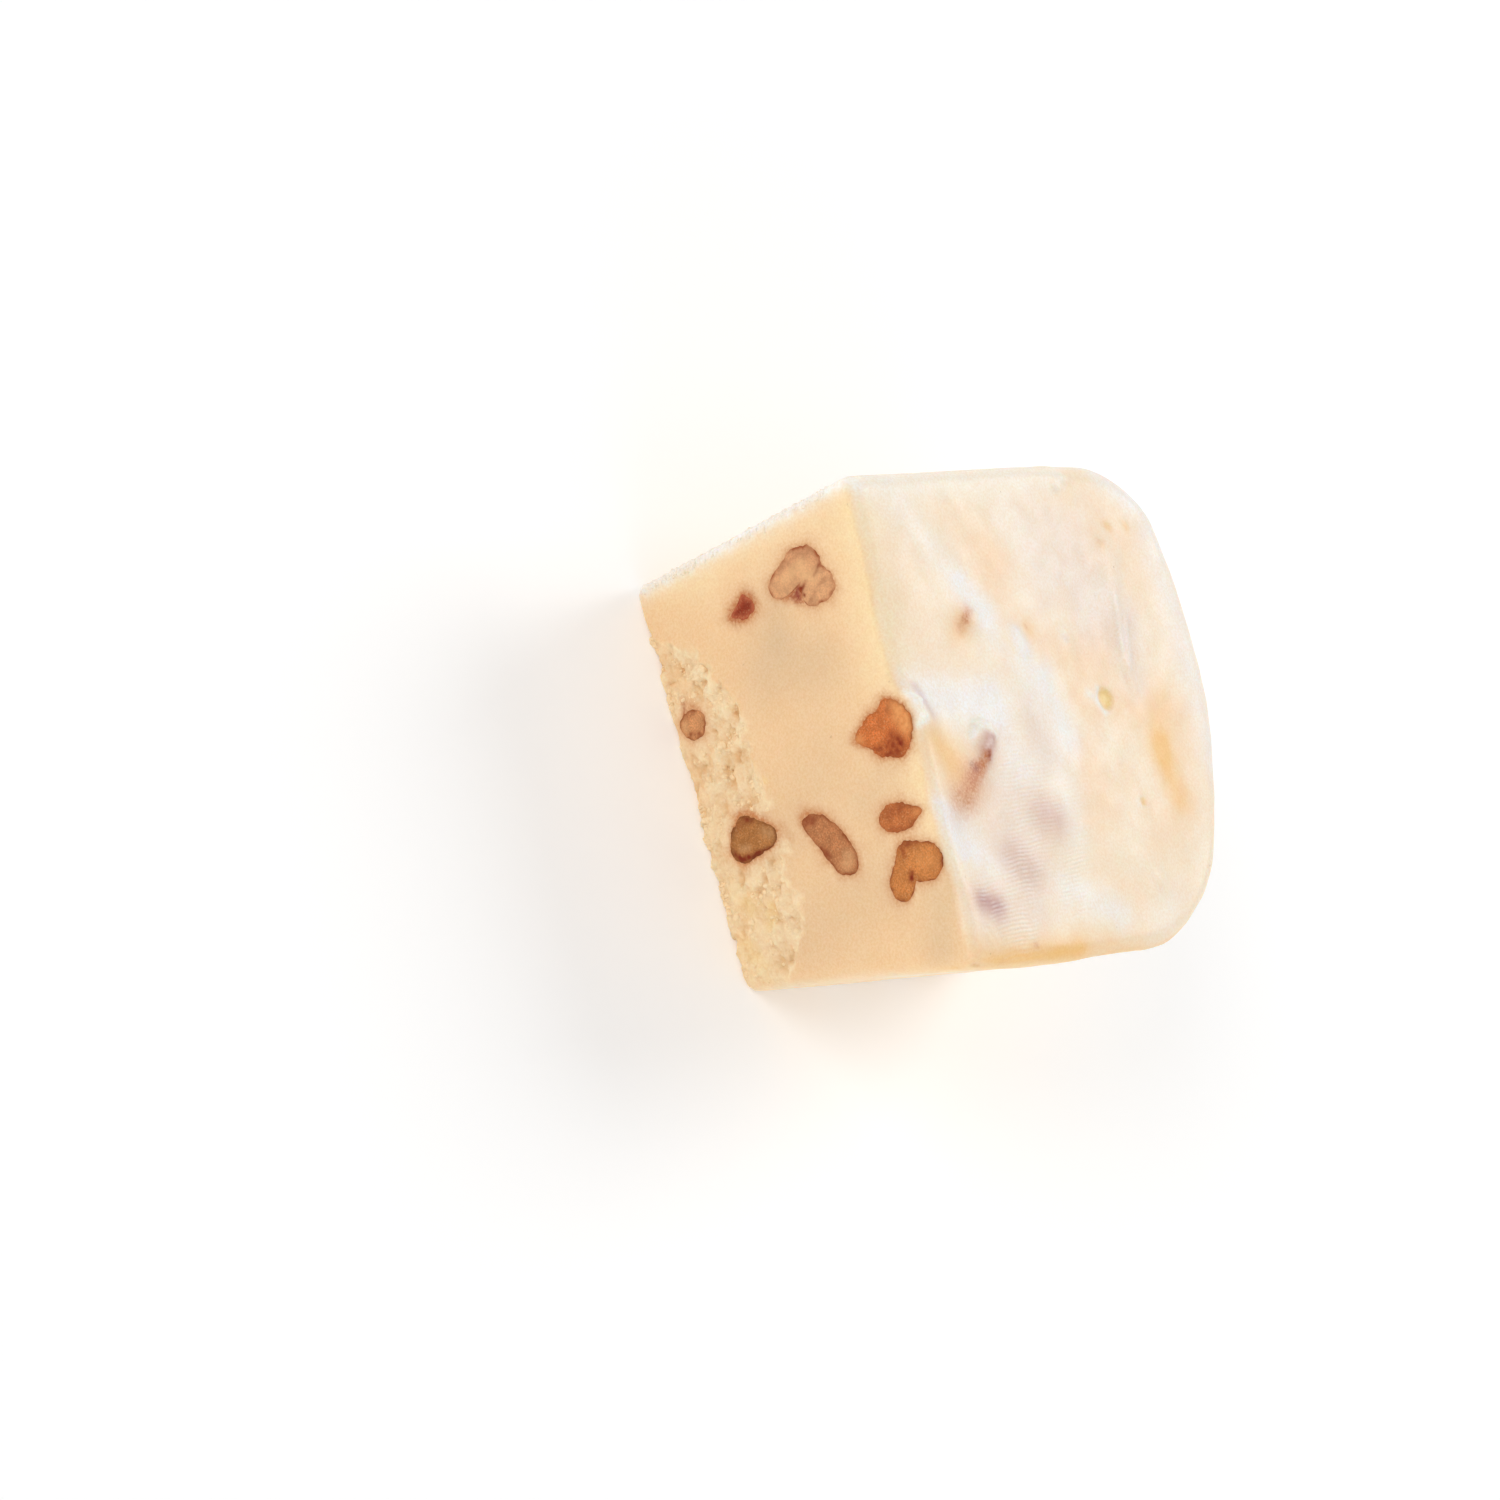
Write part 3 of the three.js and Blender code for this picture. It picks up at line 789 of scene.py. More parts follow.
# Looks of each nut; its dark and pale places run from one place to another, with strength and spread
PECAN_RIM = (140, 70, 36)
PECAN_DARK = (128, 42, 20)
PECAN_PALE = (230, 182, 130)
PECAN_LOOKS = {
    1: {
        "flesh": (226, 168, 120), "rim": (1.00, 0.32), "rim_tone": (152, 74, 40), "halo": 0.65,
        "freckles": 0.45,
        "dark": [
            # the first run is painted shadow in the cleft between the lobes
            (-19.4, 25.3, -18.4, 24.4, 0.9, 0.5), (-19.3, 25.6, -19.9, 26.4, 0.45, 0.25),
            (-18.6, 25.7, -18.5, 25.8, 0.8, 0.2), (-21.4, 29.4, -20.2, 27.9, 0.35, 0.2),
            (-23.2, 27.4, -21.4, 29, 0.22, 0.7), (-18.4, 27.4, -17.6, 26.2, 0.25, 0.22),
            (-19.4, 29.6, -19, 28.2, 0.2, 0.25), (-22.2, 22.8, -23.2, 26.4, 0.22, 0.6),
        ],
        "pale": [
            (-20.6, 26.6, -20, 27.6, 0.45, 0.8), (-21.4, 23.6, -22, 26.4, 0.45, 0.8),
            # painted glint
            (-18.1, 25.4, -18, 25.5, 0.9, 0.25),
        ],
    },
    2: {
        "flesh": (152, 58, 34), "rim": (0.80, 0.60), "rim_tone": (190, 104, 70), "halo": 1.00,
        "dark": [(-20.2, 16.8, -19.8, 15.6, 0.5, 0.6)],
    },
    3: {
        "flesh": (216, 120, 62), "rim": (0.55, 0.28), "halo": 0.95, "pale_tone": (234, 164, 100),
        "dark": [
            (1, 33.4, 1.6, 32.6, 0.75, 0.9), (-0.2, 32.8, 0.6, 31.6, 0.45, 0.7),
            (0.9, 30.6, 0.6, 29.6, 0.6, 0.35), (-3.4, 33.4, -3, 33, 0.35, 0.6),
            (1.8, 31.6, 1.6, 30.4, 0.5, 0.4),
        ],
        "pale": [(-3.2, 34.2, -0.6, 35.2, 0.8, 1.3), (-0.9, 27.8, -0.8, 27, 0.5, 0.7)],
    },
    4: {
        "flesh": (221, 155, 103), "rim": (0.85, 0.28), "halo": 0.60,
        "dark": [(-8.5, 4, -8.8, 2.6, 0.5, 0.3), (-11.3, 3.8, -11, 2.8, 0.3, 0.5)],
        "pale": [(-10, 2, -9.6, 1.9, 0.4, 0.6)],
    },
    5: {
        "flesh": (182, 120, 66), "rim": (0.75, 0.36), "rim_tone": (112, 60, 30), "halo": 0.95,
        "dark": [
            (7.1, 10, 7.2, 8, 0.8, 0.32), (7.3, 8, 7.2, 5.2, 0.95, 0.42), (6.8, 5, 6.2, 4.4, 0.7, 0.4),
            (2.9, 7.8, 3.1, 8.4, 0.6, 0.5), (3.4, 5.8, 3, 7, 0.35, 0.6),
        ],
        "pale": [(6, 5.6, 6.2, 6.8, 0.35, 0.45), (5.1, 10, 5.4, 10.8, 0.25, 0.8)],
    },
    6: {
        "flesh": (195, 127, 81), "rim": (1.00, 0.34), "halo": 0.80,
        "dark": [(5.6, 16.6, 5.7, 17.8, 0.7, 0.55), (9, 17.8, 10.2, 18.8, 0.55, 0.35)],
        "pale": [(11, 21.6, 11.8, 20.8, 0.4, 0.9)],
    },
    7: {
        "flesh": (203, 119, 65), "rim": (0.60, 0.40), "halo": 0.80, "pale_tone": (228, 152, 90),
        "dark": [(8, 29, 7.8, 31, 0.35, 0.7), (9.7, 28.9, 9.9, 30, 0.35, 0.4)],
        "pale": [(8.8, 33, 8.8, 33.6, 0.6, 0.5)],
    },
    8: {
        "flesh": (210, 132, 70), "rim": (1.00, 0.30), "halo": 0.75, "pale_tone": (232, 158, 92),
        "dark": [
            (15, 29.9, 15.7, 29.6, 0.85, 0.4), (11.9, 30, 11.8, 31.8, 0.55, 0.4),
            (11.9, 29.4, 13, 29.6, 0.5, 0.35),
        ],
        "pale": [(14.4, 33.2, 14, 31.8, 0.3, 1)],
    },
    9: {
        "flesh": (188, 122, 76), "rim": (0.90, 0.34), "halo": 0.55,
        "dark": [(23, 20.9, 22.2, 21, 0.6, 0.5)],
        "pale": [(20, 23.2, 21, 22.4, 0.4, 0.8)],
    },
    10: {
        "flesh": (206, 118, 62), "rim": (0.60, 0.32), "halo": 0.55,
        "dark": [(10.2, 26, 10.6, 25.2, 0.6, 0.5), (8, 28.6, 8.6, 28.2, 0.4, 0.6)],
        "pale": [(9.6, 29, 10.4, 28.6, 0.4, 0.8)],
    },
    11: {
        "flesh": (212, 154, 104), "rim": (0.90, 0.34), "halo": 0.45,
        "dark": [(5.7, 11, 5.5, 9.8, 0.85, 0.5), (7, 14.6, 8.2, 15.2, 0.3, 0.4)],
        "pale": [(4.6, 13.6, 6.4, 13.8, 0.5, 0.9)],
    },
    12: {
        "flesh": (194, 112, 60), "rim": (0.50, 0.32), "halo": 0.55,
        "dark": [(-7.6, 19.8, -7.2, 21.2, 0.4, 0.5)],
        "pale": [(-6.2, 23.4, -6, 24, 0.5, 0.5)],
    },
    13: {
        "flesh": (174, 112, 62), "rim": (0.70, 0.34), "halo": 0.70,
        "dark": [(-8.2, 7.6, -8, 8.6, 0.8, 0.45)],
        "pale": [(-10.6, 8.2, -9.8, 8, 0.3, 0.6)],
    },
}

# Tones laid over one another on the fudge, from the bottom up
CUT_CREAM = (246, 212, 168)
CRUMB_CREAM = (254, 229, 188)
TONES = {
    "skin": (255, 238, 217),
    "moulded": (251, 226, 188),
    # painted glow of light shining through the edges
    "painted_glow": (254, 229, 186),
    "shade": (204, 181, 152),
    "warm": (255, 222, 188),
    # orange patches, and painted warm shade along the top of the moulded end
    "orange": (250, 204, 134),
    "yellow": (250, 222, 156),
    "grey": (239, 225, 215),
    # a milky film on the skin, and painted sheen
    "milky_and_painted_sheen": (247, 247, 248),
    "purple": (194, 146, 144),
    "brown": (202, 126, 72),
    # paler torn fudge, with painted highlights on its crumbs
    "pale": (255, 234, 196),
    # painted shade in pits, between crumbs and in dents and pinholes
    "hollow_shade": (226, 180, 120),
    "stain_and_shade": (206, 138, 86),
    "deep": (146, 62, 42),
    # white frosty sugar, and painted highlights and glints
    "frost_and_painted_highlight": (255, 253, 249),
}

# Where the tones lie on the poured top and the front: each from one place to another, strength, spread
TOP_ZONES = {
    "pale": [(-27, -28.4, -9, -28.4, 0.45, 2.4)],
    "shade": [(1.5, -8.2, 4, -7.6, 0.15, 2), (7, -17.5, 8.5, -17, 0.16, 2.2)],
    "warm": [
        (-19, 17.5, -13, 17.5, 0.45, 3), (-24, 13, -19, 12, 0.35, 3), (-24, -14, -18, -8, 0.45, 3.6),
        (-19, -8, -14, -11, 0.5, 3.6), (-9, -8, -5, 3, 0.65, 3), (-9, 9, -3, 6, 0.5, 3),
        (-1, 0.5, 1.5, 3, 0.6, 2.2), (1, 9, 3, 19, 0.8, 3.2), (6, 0.2, 13, 1.4, 0.6, 2.6),
        (15.6, 13, 17.6, 9, 0.55, 2.8), (9, 19, 14, 17, 0.5, 2.5), (-25, -25, -8, -24, 0.28, 4.5),
        (22, 1, 23, 3, 0.45, 2), (15, -2, 20, -2, 0.3, 2.6), (10, 6, 13, 8.6, 0.4, 2.4),
        (21, 13, 24, 10, 0.3, 2.2), (5.5, -2.5, 13, -2.6, 0.4, 2.2), (-9, 7.5, -6, 7.5, 0.45, 2.2),
        (-8.5, -17.5, -6.5, -17.5, 0.4, 2.4), (22, -23, 23, -21.5, 0.35, 2.2),
    ],
    "orange": [
        (6.5, 14.4, 13, 15.2, 0.75, 2.4), (1, 16, 7, 14.6, 0.45, 3), (2, -25.8, 6.4, -22.8, 0.85, 2.8),
        (-20.9, 14.7, -20.6, 15, 0.6, 0.6), (-20.9, 18.2, -20.7, 18.5, 0.5, 0.6),
        (-18.7, 12.5, -18.5, 12.7, 0.5, 0.6), (-27, 9, -25, 8.4, 0.35, 2),
        (-9.8, -5.4, -9.2, -4.6, 0.55, 0.8), (-11.4, -16.2, -10.4, -17.2, 0.5, 1.7),
        # painted warm shade where the top rounds over to the moulded end
        (27.4, -26, 27.6, -10, 0.45, 1.6),
    ],
    "grey": [
        (-20, 8, -10, 11, 0.55, 4.5), (-9, 14.4, -2, 13.4, 0.55, 2.6), (-15, 5.6, -9, 6.4, 0.45, 3.2),
        (-22, 2, -14, 0, 0.45, 4), (0, -8.5, 5, -7.5, 0.75, 2.6), (8, -13, 18, -14, 0.5, 4),
        (8, -18, 16, -20, 0.5, 4), (21.6, -25, 22.6, -16, 0.5, 2.2), (-22, 22, 10, 23, 0.2, 2.2),
    ],
    # painted sheen on the folds, the lip and the rims of the top, with some whitish streaks and crumbs
    "milky_and_painted_sheen": [
        (-11.5, -12.5, -8.5, -11.5, 0.45, 2), (-23, -4, -16, 0, 0.28, 3.4),
        (-13, 12, -11, 7, 0.25, 2.4), (-5, 11.4, -1, 12.4, 0.15, 2.2),
        (-27, -24, -16, -15.6, 0.4, 2.4), (-15.4, -14.8, -12, -12, 0.75, 2.1),
        (-7, -8, -4, -5.6, 0.45, 2.4), (-4.5, -8.4, -1, -7.4, 0.4, 2.4),
        (-3.5, -4, 4, -2.4, 0.65, 2.2), (3, -5, 14, -6, 0.4, 3), (-3.5, -26, -1.5, -15, 0.95, 2.8),
        (-1.5, -14.4, 6, -12, 0.55, 2.6), (10.4, -27, 15, -24, 0.7, 1.8),
        (11.5, -24, 16.5, -21, 0.4, 2.2), (20.5, -10, 25, -1, 0.6, 2), (-24, 23.5, 10, 25, 0.65, 2.6),
        (-27.6, 16, -24, 20.5, 0.7, 2), (24, 11, 28, 4, 0.25, 2.2),
        (8.6, -28, 14.5, -26.4, 0.85, 1.1),  # lip
        (-12.2, 12.6, -6, 11.3, 0.35, 0.7),  # scraped streaks
        (-9.4, 13.6, -3.6, 12.2, 0.3, 0.6),
        (-9.2, -8, -7.2, -7, 0.75, 1.2),  # blister
        (-27.3, 8, -26, 6.8, 0.4, 0.7),  # stuck crumbs
        (-1.3, 3, -0.9, 4, 0.6, 0.6), (-8.5, 1.2, -7.9, 1.6, 0.5, 0.6),
        (-1.4, 5.4, 0, 4.7, 0.8, 0.45),  # rim of the burst bubble
        (0, 4.7, 1.4, 5.6, 0.8, 0.45), (12.6, 7.4, 13.2, 7.3, 0.35, 0.5),
    ],
    "purple": [
        (2.4, -16.9, 3.8, -18.2, 0.9, 1.25), (11.8, -10.6, 12.6, -9, 0.5, 2.2),
        (15.8, -17.5, 17.6, -15.9, 0.35, 2.8), (20, -25.4, 20.9, -23.2, 0.9, 1.7),
        (-4.4, -26.8, -1.4, -26, 0.3, 0.8),  # shadow of the flake
    ],
    "frost_and_painted_highlight": [
        (-28.2, -29, -28.2, 8, 0.55, 2.6),
        (1.8, -19.6, 0.7, -18.6, 0.9, 0.55),  # painted highlight on the skin drawn up round the nut's end
        (0.7, -18.6, 0.7, -17, 1, 0.6), (0.7, -17, 2, -15.7, 0.9, 0.5),
        (2.6, -17, 3, -17.4, 0.45, 0.35),  # painted glints on it
        (3.2, -18, 3.5, -18.3, 0.35, 0.3),
        (-3.9, -28.9, -2.9, -28, 1, 0.5),  # flake
        (-2.9, -28, -1, -27.8, 1.2, 0.55), (-1, -27.8, -0.2, -28.7, 1, 0.5),
    ],
    "brown": [
        (4.4, -18.6, 5.6, -20, 0.7, 0.75), (5.6, -20, 6.6, -21.2, 0.4, 1),
        (6.4, -21, 8, -23.2, 0.42, 2.1), (7.6, -22.6, 9.2, -24.8, 0.34, 2.3),
        (-12.4, -15, -11.6, -15.9, 0.5, 0.6), (-11.4, -15.9, -10.7, -17, 0.35, 0.9),
        (4.2, -17.8, 4.4, -18, 0.9, 0.35), (-9.8, -5.3, -9.7, -5.2, 0.35, 0.3),
        (26, -17.8, 26.1, -17.6, 0.35, 0.4), (27.6, -23.4, 27.8, -23.2, 0.6, 0.5),
    ],
    # painted shadow beside the blister, and painted shade in the burst bubble's pit
    "yellow": [(-8.6, -9.7, -6.8, -8.7, 0.45, 0.55), (-0.6, 6, 0.2, 6.8, 0.4, 0.7)],
    "deep": [
        (4.2, -18, 4.4, -18.1, 0.8, 0.35),  # dark places on the nut under the skin
        (5.5, -20.3, 5.7, -20.5, 0.55, 0.35), (5, -20.9, 5.2, -21, 0.35, 0.4),
    ],
}
FRONT_ZONES = {
    # painted glow of light through the edges near the cut corner
    "painted_glow": [(-27, 17, -26.4, 28, 0.5, 3), (-27, 5, -26, 12, 0.75, 3)],
    "shade": [
        (-12, 17, -11, 25, 0.34, 4.5), (-19, 21, -16, 20, 0.32, 3), (0, 22, 5, 14, 0.2, 5),
        (15, 26, 18, 12, 0.24, 5), (19, 33.4, 24, 31, 0.34, 3), (3.6, 30.6, 6, 26, 0.2, 2.8),
    ],
    "yellow": [
        (13.6, 7.4, 15.8, 6.8, 0.7, 0.8), (10.5, 3, 13, 4.5, 0.45, 1.4), (17, 2, 21, 4, 0.45, 1.6),
        (-0.6, 12, -0.4, 12.2, 0.5, 0.5),
    ],
    "stain_and_shade": [
        (-19.6, 25, -18.2, 24.6, 0.9, 0.7),  # painted shadow in the cleft of a nut
        (-19.2, 24.2, -18.9, 22.8, 0.7, 0.6),
        (-20.4, 17, -19.8, 14.6, 0.75, 1.3),  # round the darkest nut
        (-13.2, 2.5, -11.3, 2.5, 0.45, 0.4),  # smears
        (-12.6, 3.2, -11.2, 4.6, 0.35, 0.5), (2.4, 6, 2.6, 8, 0.4, 0.9),
        (5, 12.6, 6.6, 13.4, 0.25, 0.9), (-0.8, 26.8, -0.8, 27.6, 0.35, 0.6),
        (4.6, 16.6, 5.2, 18.2, 0.4, 1), (3, 8.8, 3.6, 10.6, 0.35, 0.9),
    ],
    "deep": [
        (-19.6, 25.1, -18.5, 24.6, 0.9, 0.5),  # painted shadow in the cleft of a nut
        (-19.2, 24.4, -19, 23.4, 0.5, 0.35),
        (-20.6, 17.2, -19.6, 14.6, 0.35, 1),  # round the darkest nut
        (-12.6, 2.6, -11.5, 2.5, 0.3, 0.35),  # smear
    ],
}
WRINKLES = [
    (6, -14, 10, -7, 0.8, 3), (11, -13, 18, -17, 1, 3.4), (16, -6, 22, -9, 0.6, 2.6),
    (19, -24, 24, -20, 1, 3),
]
EDGE_GLOW = 4.6  # width of the painted glow and painted warm shade strips along the edges of the top
RIM_DROP = 2.4  # how far the painted whitish sheen on the rim of the skin reaches down the sides
RIM_WANDER = 0.2  # how unevenly it ends
HALO_REACH = 0.7  # how far the brownish halo reaches into the fudge round a nut
FIRM_REACH = 3.2  # how far round a nut less light goes into the fudge
FIRM_TORN = 0.7  # how much less light goes into the torn bands
HOLLOW_CRUMBS = (-0.05, -0.45)  # crumb heights where a tone begins and is full
PALE_CRUMBS = (-0.10, 0.35)
GLOW_FADE = (8, 20)  # where along the front the painted glow below its edge fades
# painted warm shade where the top rounds over to the moulded end
WALL_EDGE_SHADE = {"strength": 0.52, "inset": 0.8, "along": (12, -10), "up": (20, 33)}
SIDE_WARMTH = {"strength": 0.5, "size": 9.0, "full": 0.6}
SIDE_MILKINESS = {"strength": 0.3, "size": 8.0, "full": 0.7}
# painted shade in the dents and pinholes of the moulded sides
DENT_SHADE = 0.08
PINHOLE_SHADE = 0.20
GLOSS_TILT = (0.86, 0.99)  # upward share of the direction where the gloss begins and is full


def nut_halo(right, up, face):
    """A brownish halo in the fudge round each nut of a cut face."""
    patchy = 1 + 0.5 * noise(noise_places(right, up, face), 1.6)
    stain_and_shade = np.zeros(len(right))
    for number in face["pecans"]:
        gap = np.maximum(outline_gap(right, up, pecan_cuts[number]), 0)
        near = PECAN_LOOKS[number]["halo"] * np.exp(-gap / (HALO_REACH * patchy))
        stain_and_shade = np.maximum(stain_and_shade, near)
    return stain_and_shade


def mark_cut_faces(points, shares, marks):
    """Marks paler crumbs with painted highlights, painted shade in pits and between crumbs, and a
    brownish halo round the nuts of the cut faces; gives how torn and how firm each place is.
    """
    torn_total = np.zeros(len(points))
    firm = np.zeros(len(points))
    for face, share in zip(CUT_FACES, shares):
        right, up = face_places(points, face)
        torn = share * torn_share(right, up, face)
        nut_away = nut_gap(right, up, face)
        torn_total += torn * smooth_step(nut_away, 0.0, NUT_CLING)
        firm += share * np.maximum(FIRM_TORN * torn, smooth_step(nut_away, FIRM_REACH, 0.3 * FIRM_REACH))
        bent = bent_places(right, up, face)
        crumbs = crumb_relief(*bent, face)
        # painted shade in the pits and in the gaps between crumbs
        marks["hollow_shade"] += torn * (pit_depths(*bent, face) + 0.6 * smooth_step(crumbs, *HOLLOW_CRUMBS))
        # paler torn fudge, with painted highlights on the crumb tops and along the band's upper edge
        marks["pale"] += torn * (0.20 + 0.80 * smooth_step(crumbs, *PALE_CRUMBS))
        marks["pale"] += torn * 0.9 * bell(band_depth(right, up, face), LIP["width"])
        marks["stain_and_shade"] += share * nut_halo(right, up, face)
    return torn_total, firm


def mark_moulded_sides(points, moulded, marks):
    """Marks patches on the moulded sides, and painted shade in their dents and pinholes."""
    dents, pinholes = dent_shares(points)
    warm = patches(points, SIDE_WARMTH["size"], 0.0, SIDE_WARMTH["full"])
    milky_and_painted_sheen = patches(points + LENGTH, SIDE_MILKINESS["size"], 0.0, SIDE_MILKINESS["full"])
    marks["warm"] += SIDE_WARMTH["strength"] * moulded * warm
    marks["milky_and_painted_sheen"] += SIDE_MILKINESS["strength"] * moulded * milky_and_painted_sheen
    # painted shade in the dents and pinholes
    marks["hollow_shade"] += moulded * (DENT_SHADE * dents + PINHOLE_SHADE * pinholes)


def mark_edges(points, shares, marks):
    """Marks what runs along the edges: a painted glow, a painted whitish sheen on the rim, an orange
    strip of painted warm shade and a frosty corner.
    """
    top, front, end, wall, back = shares
    x, y = drifted(points)
    z = points[:, 2]
    drop = skin_height(points[:, 0], points[:, 1]) - z
    # painted glow of light through the cut faces just below the top
    fading = 1 - 0.8 * smooth_step(x, *GLOW_FADE)
    marks["painted_glow"] += (fading * front + 0.6 * end) * bell(drop, EDGE_GLOW)
    # painted whitish sheen on the rounded rim of the back and the cut end
    rim = bell(drop / RIM_DROP - 0.8) * (0.7 + 0.5 * noise(points, 4.0))
    marks["milky_and_painted_sheen"] += 0.7 * smooth_step(back + end, 0.0, 0.3) * rim
    # painted warm shade where the top rounds over to the moulded end
    inset = WALL_EDGE_SHADE["inset"]
    wall_shade = smooth_step(x - wall_line(y), -EDGE_GLOW - inset, -inset)
    wall_shade = wall_shade * smooth_step(y, *WALL_EDGE_SHADE["along"])
    marks["orange"] += (top + wall) * smooth_step(z, *WALL_EDGE_SHADE["up"]) * WALL_EDGE_SHADE["strength"] * wall_shade
    marks["frost_and_painted_highlight"] += corner_nearness(points) * (1.1 + 0.5 * noise(points, 0.9))


def mark_block(block):
    """Stores how strongly each tone shows at each place on the block's surface."""
    points = points_of(block)
    x, y = drifted(points)
    directions = outward(points)
    tilted = directions.copy()
    tilted[:, 2] += RIM_WANDER * noise(points, 5.0)
    shares = face_shares(tilted)
    top, front, end, wall, back = shares
    marks = {name: np.zeros(len(points)) for name in TONES}
    marks["skin"] = top
    marks["moulded"] = wall + back
    for name, runs in TOP_ZONES.items():
        marks[name] += top * soft_runs(x, y, runs)
    for name, runs in FRONT_ZONES.items():
        marks[name] += front * soft_runs(points[:, 0], points[:, 2], runs)
    # painted shade in the pits of the burst bubbles
    marks["yellow"] += top * np.clip(-4.0 * bubble_relief(x, y), 0, 0.8)
    marks["torn"], marks["firm"] = mark_cut_faces(points, (front, end), marks)
    mark_moulded_sides(points, wall + back, marks)
    mark_edges(points, shares, marks)
    marks["gloss"] = smooth_step(directions[:, 2], *GLOSS_TILT) + 0.5 * (wall + back)
    marks["wrinkle"] = top * soft_runs(x, y, WRINKLES)
    marks["rough"] = front + end
    for name, values in marks.items():
        add_values(block, name, values)


# Materials

MOTTLE = (253, 247, 240)
SUGAR = (248, 238, 224)
SPECK = (170, 125, 88)
SPECKLED = ("stain_and_shade", "brown", "deep")  # tones that break up into fine dark grains
WRINKLE_SPACING = 0.48
WRINKLE_HEIGHT = 1.2  # heights of wrinkles and crags, with that of the fine grain as 1
CRAG_HEIGHT = 4.0
SATIN = (0.58, 0.75)  # roughness from place to place, and where the skin is glossy
GLOSSY = (0.36, 0.50)
FUDGE_IOR = 1.46
LIGHT_REACH = (1.2, 0.7, 0.4)  # how far red, green and blue light goes in


def linear(red, green, blue):
    """A colour read off as 0 to 255 on screen, as the shader takes it."""
    shares = (channel / 255 for channel in (red, green, blue))
    return tuple(s / 12.92 if s <= 0.04045 else ((s + 0.055) / 1.055) ** 2.4 for s in shares) + (1.0,)


class Shader:
    """The nodes of a material, or of the world, under construction."""

    def __init__(self, owner, surface="Principled BSDF"):
        owner.use_nodes = True
        self.nodes = owner.node_tree.nodes
        self.links = owner.node_tree.links
        self.surface = self.nodes[surface]

    def put(self, node, inputs):
        """Sets or links inputs of a node, each by its name or number."""
        for name, value in inputs.items():
            if isinstance(value, bpy.types.NodeSocket):
                self.links.new(value, node.inputs[name])
            else:
                node.inputs[name].default_value = value

    def add(self, kind, output, inputs=None, **settings):
        """Adds a node and gives one of its outputs."""
        node = self.nodes.new(kind)
        for name, value in settings.items():
            setattr(node, name, value)
        self.put(node, inputs or {})
        return node.outputs[output]

    def value(self, name):
        """A number stored on the mesh."""
        return self.add("ShaderNodeAttribute", "Fac", attribute_name=name)

    def place(self):
        return self.add("ShaderNodeTexCoord", "Object")

    def mix(self, share, first, second, blend="MIX"):
        inputs = {0: share, 6: first, 7: second}
        return self.add("ShaderNodeMix", 2, inputs, data_type="RGBA", blend_type=blend)

    def math(self, operation, first, second, clamp=False):
        return self.add("ShaderNodeMath", 0, {0: first, 1: second}, operation=operation, use_clamp=clamp)

    def times(self, first, second, clamp=False):
        return self.math("MULTIPLY", first, second, clamp)

    def spread(self, value, low, high, new_low, new_high):
        """Carries a value from one range to another, held within it."""
        inputs = {"Value": value, "From Min": low, "From Max": high}
        inputs.update({"To Min": new_low, "To Max": new_high})
        return self.add("ShaderNodeMapRange", "Result", inputs)

    def grain(self, size, detail=2.0, roughness=0.5):
        """Noise from 0 to 1 with features of about that size, in the part's own place."""
        inputs = {"Vector": self.place(), "Scale": 1 / (size * MM)}
        inputs.update({"Detail": detail, "Roughness": roughness})
        return self.add("ShaderNodeTexNoise", "Fac", inputs)

    def patches(self, size, seen, share, **fineness):
        """Noise with features of about that size, its seen range spread over a range of shares."""
        return self.spread(self.grain(size, **fineness), *seen, *share)

    def bump(self, height, depth, strength):
        inputs = {"Strength": strength, "Distance": depth * MM, "Height": height}
        return self.add("ShaderNodeBump", "Normal", inputs)


def fudge_tones(shader, bare):
    """All tones laid over the bare colour, each where the mesh is marked with it."""
    colour = linear(*bare)
    speckle = shader.patches(size=0.3, seen=(0.3, 0.7), share=(0.65, 1.35))
    for tone, shade in TONES.items():
        share = shader.value(tone)
        if tone in SPECKLED:
            share = shader.times(share, speckle, clamp=True)
        colour = shader.mix(share, colour, linear(*shade))
    return colour


def sugary(shader, colour):
    """A colour with soft mottling, a fine grain of sugar and a few specks."""
    mottle = shader.patches(size=5.0, seen=(0.3, 0.7), share=(0.0, 0.5))
    colour = shader.mix(mottle, colour, linear(*MOTTLE), "MULTIPLY")
    sugar = shader.patches(size=0.28, seen=(0.35, 0.65), share=(0.0, 0.8), detail=3.0, roughness=0.6)
    colour = shader.mix(sugar, colour, linear(*SUGAR), "MULTIPLY")
    specks = shader.patches(size=1.1, seen=(0.80, 0.84), share=(0.0, 0.4), detail=1.0)
    return shader.mix(specks, colour, linear(*SPECK))


def skin_wrinkles(shader):
    """Fine wrinkles of the poured skin, broken up along their length."""
    ridges = shader.add("ShaderNodeTexWave", "Fac", {
        "Vector": shader.place(), "Scale": 2 * math.pi / (20 * WRINKLE_SPACING * MM), "Distortion": 5.0,
        "Detail": 3.0, "Detail Scale": 0.4,
    }, bands_direction="X")
    broken = shader.patches(size=1.6, seen=(0.35, 0.65), share=(0.2, 1.0))
    return shader.times(shader.times(ridges, shader.value("wrinkle")), broken)


def torn_crags(shader):
    """Small crags in the torn bands, and the hollows between them."""
    uneven = shader.patches(size=2.2, seen=(0.40, 0.60), share=(0.2, 1.0))
    torn = shader.times(shader.value("torn"), uneven)
    peaks = shader.patches(size=0.5, seen=(0.38, 0.62), share=(0.0, 1.0), detail=4.0, roughness=0.6)
    crags = shader.times(torn, peaks)
    return crags, shader.math("SUBTRACT", torn, crags)


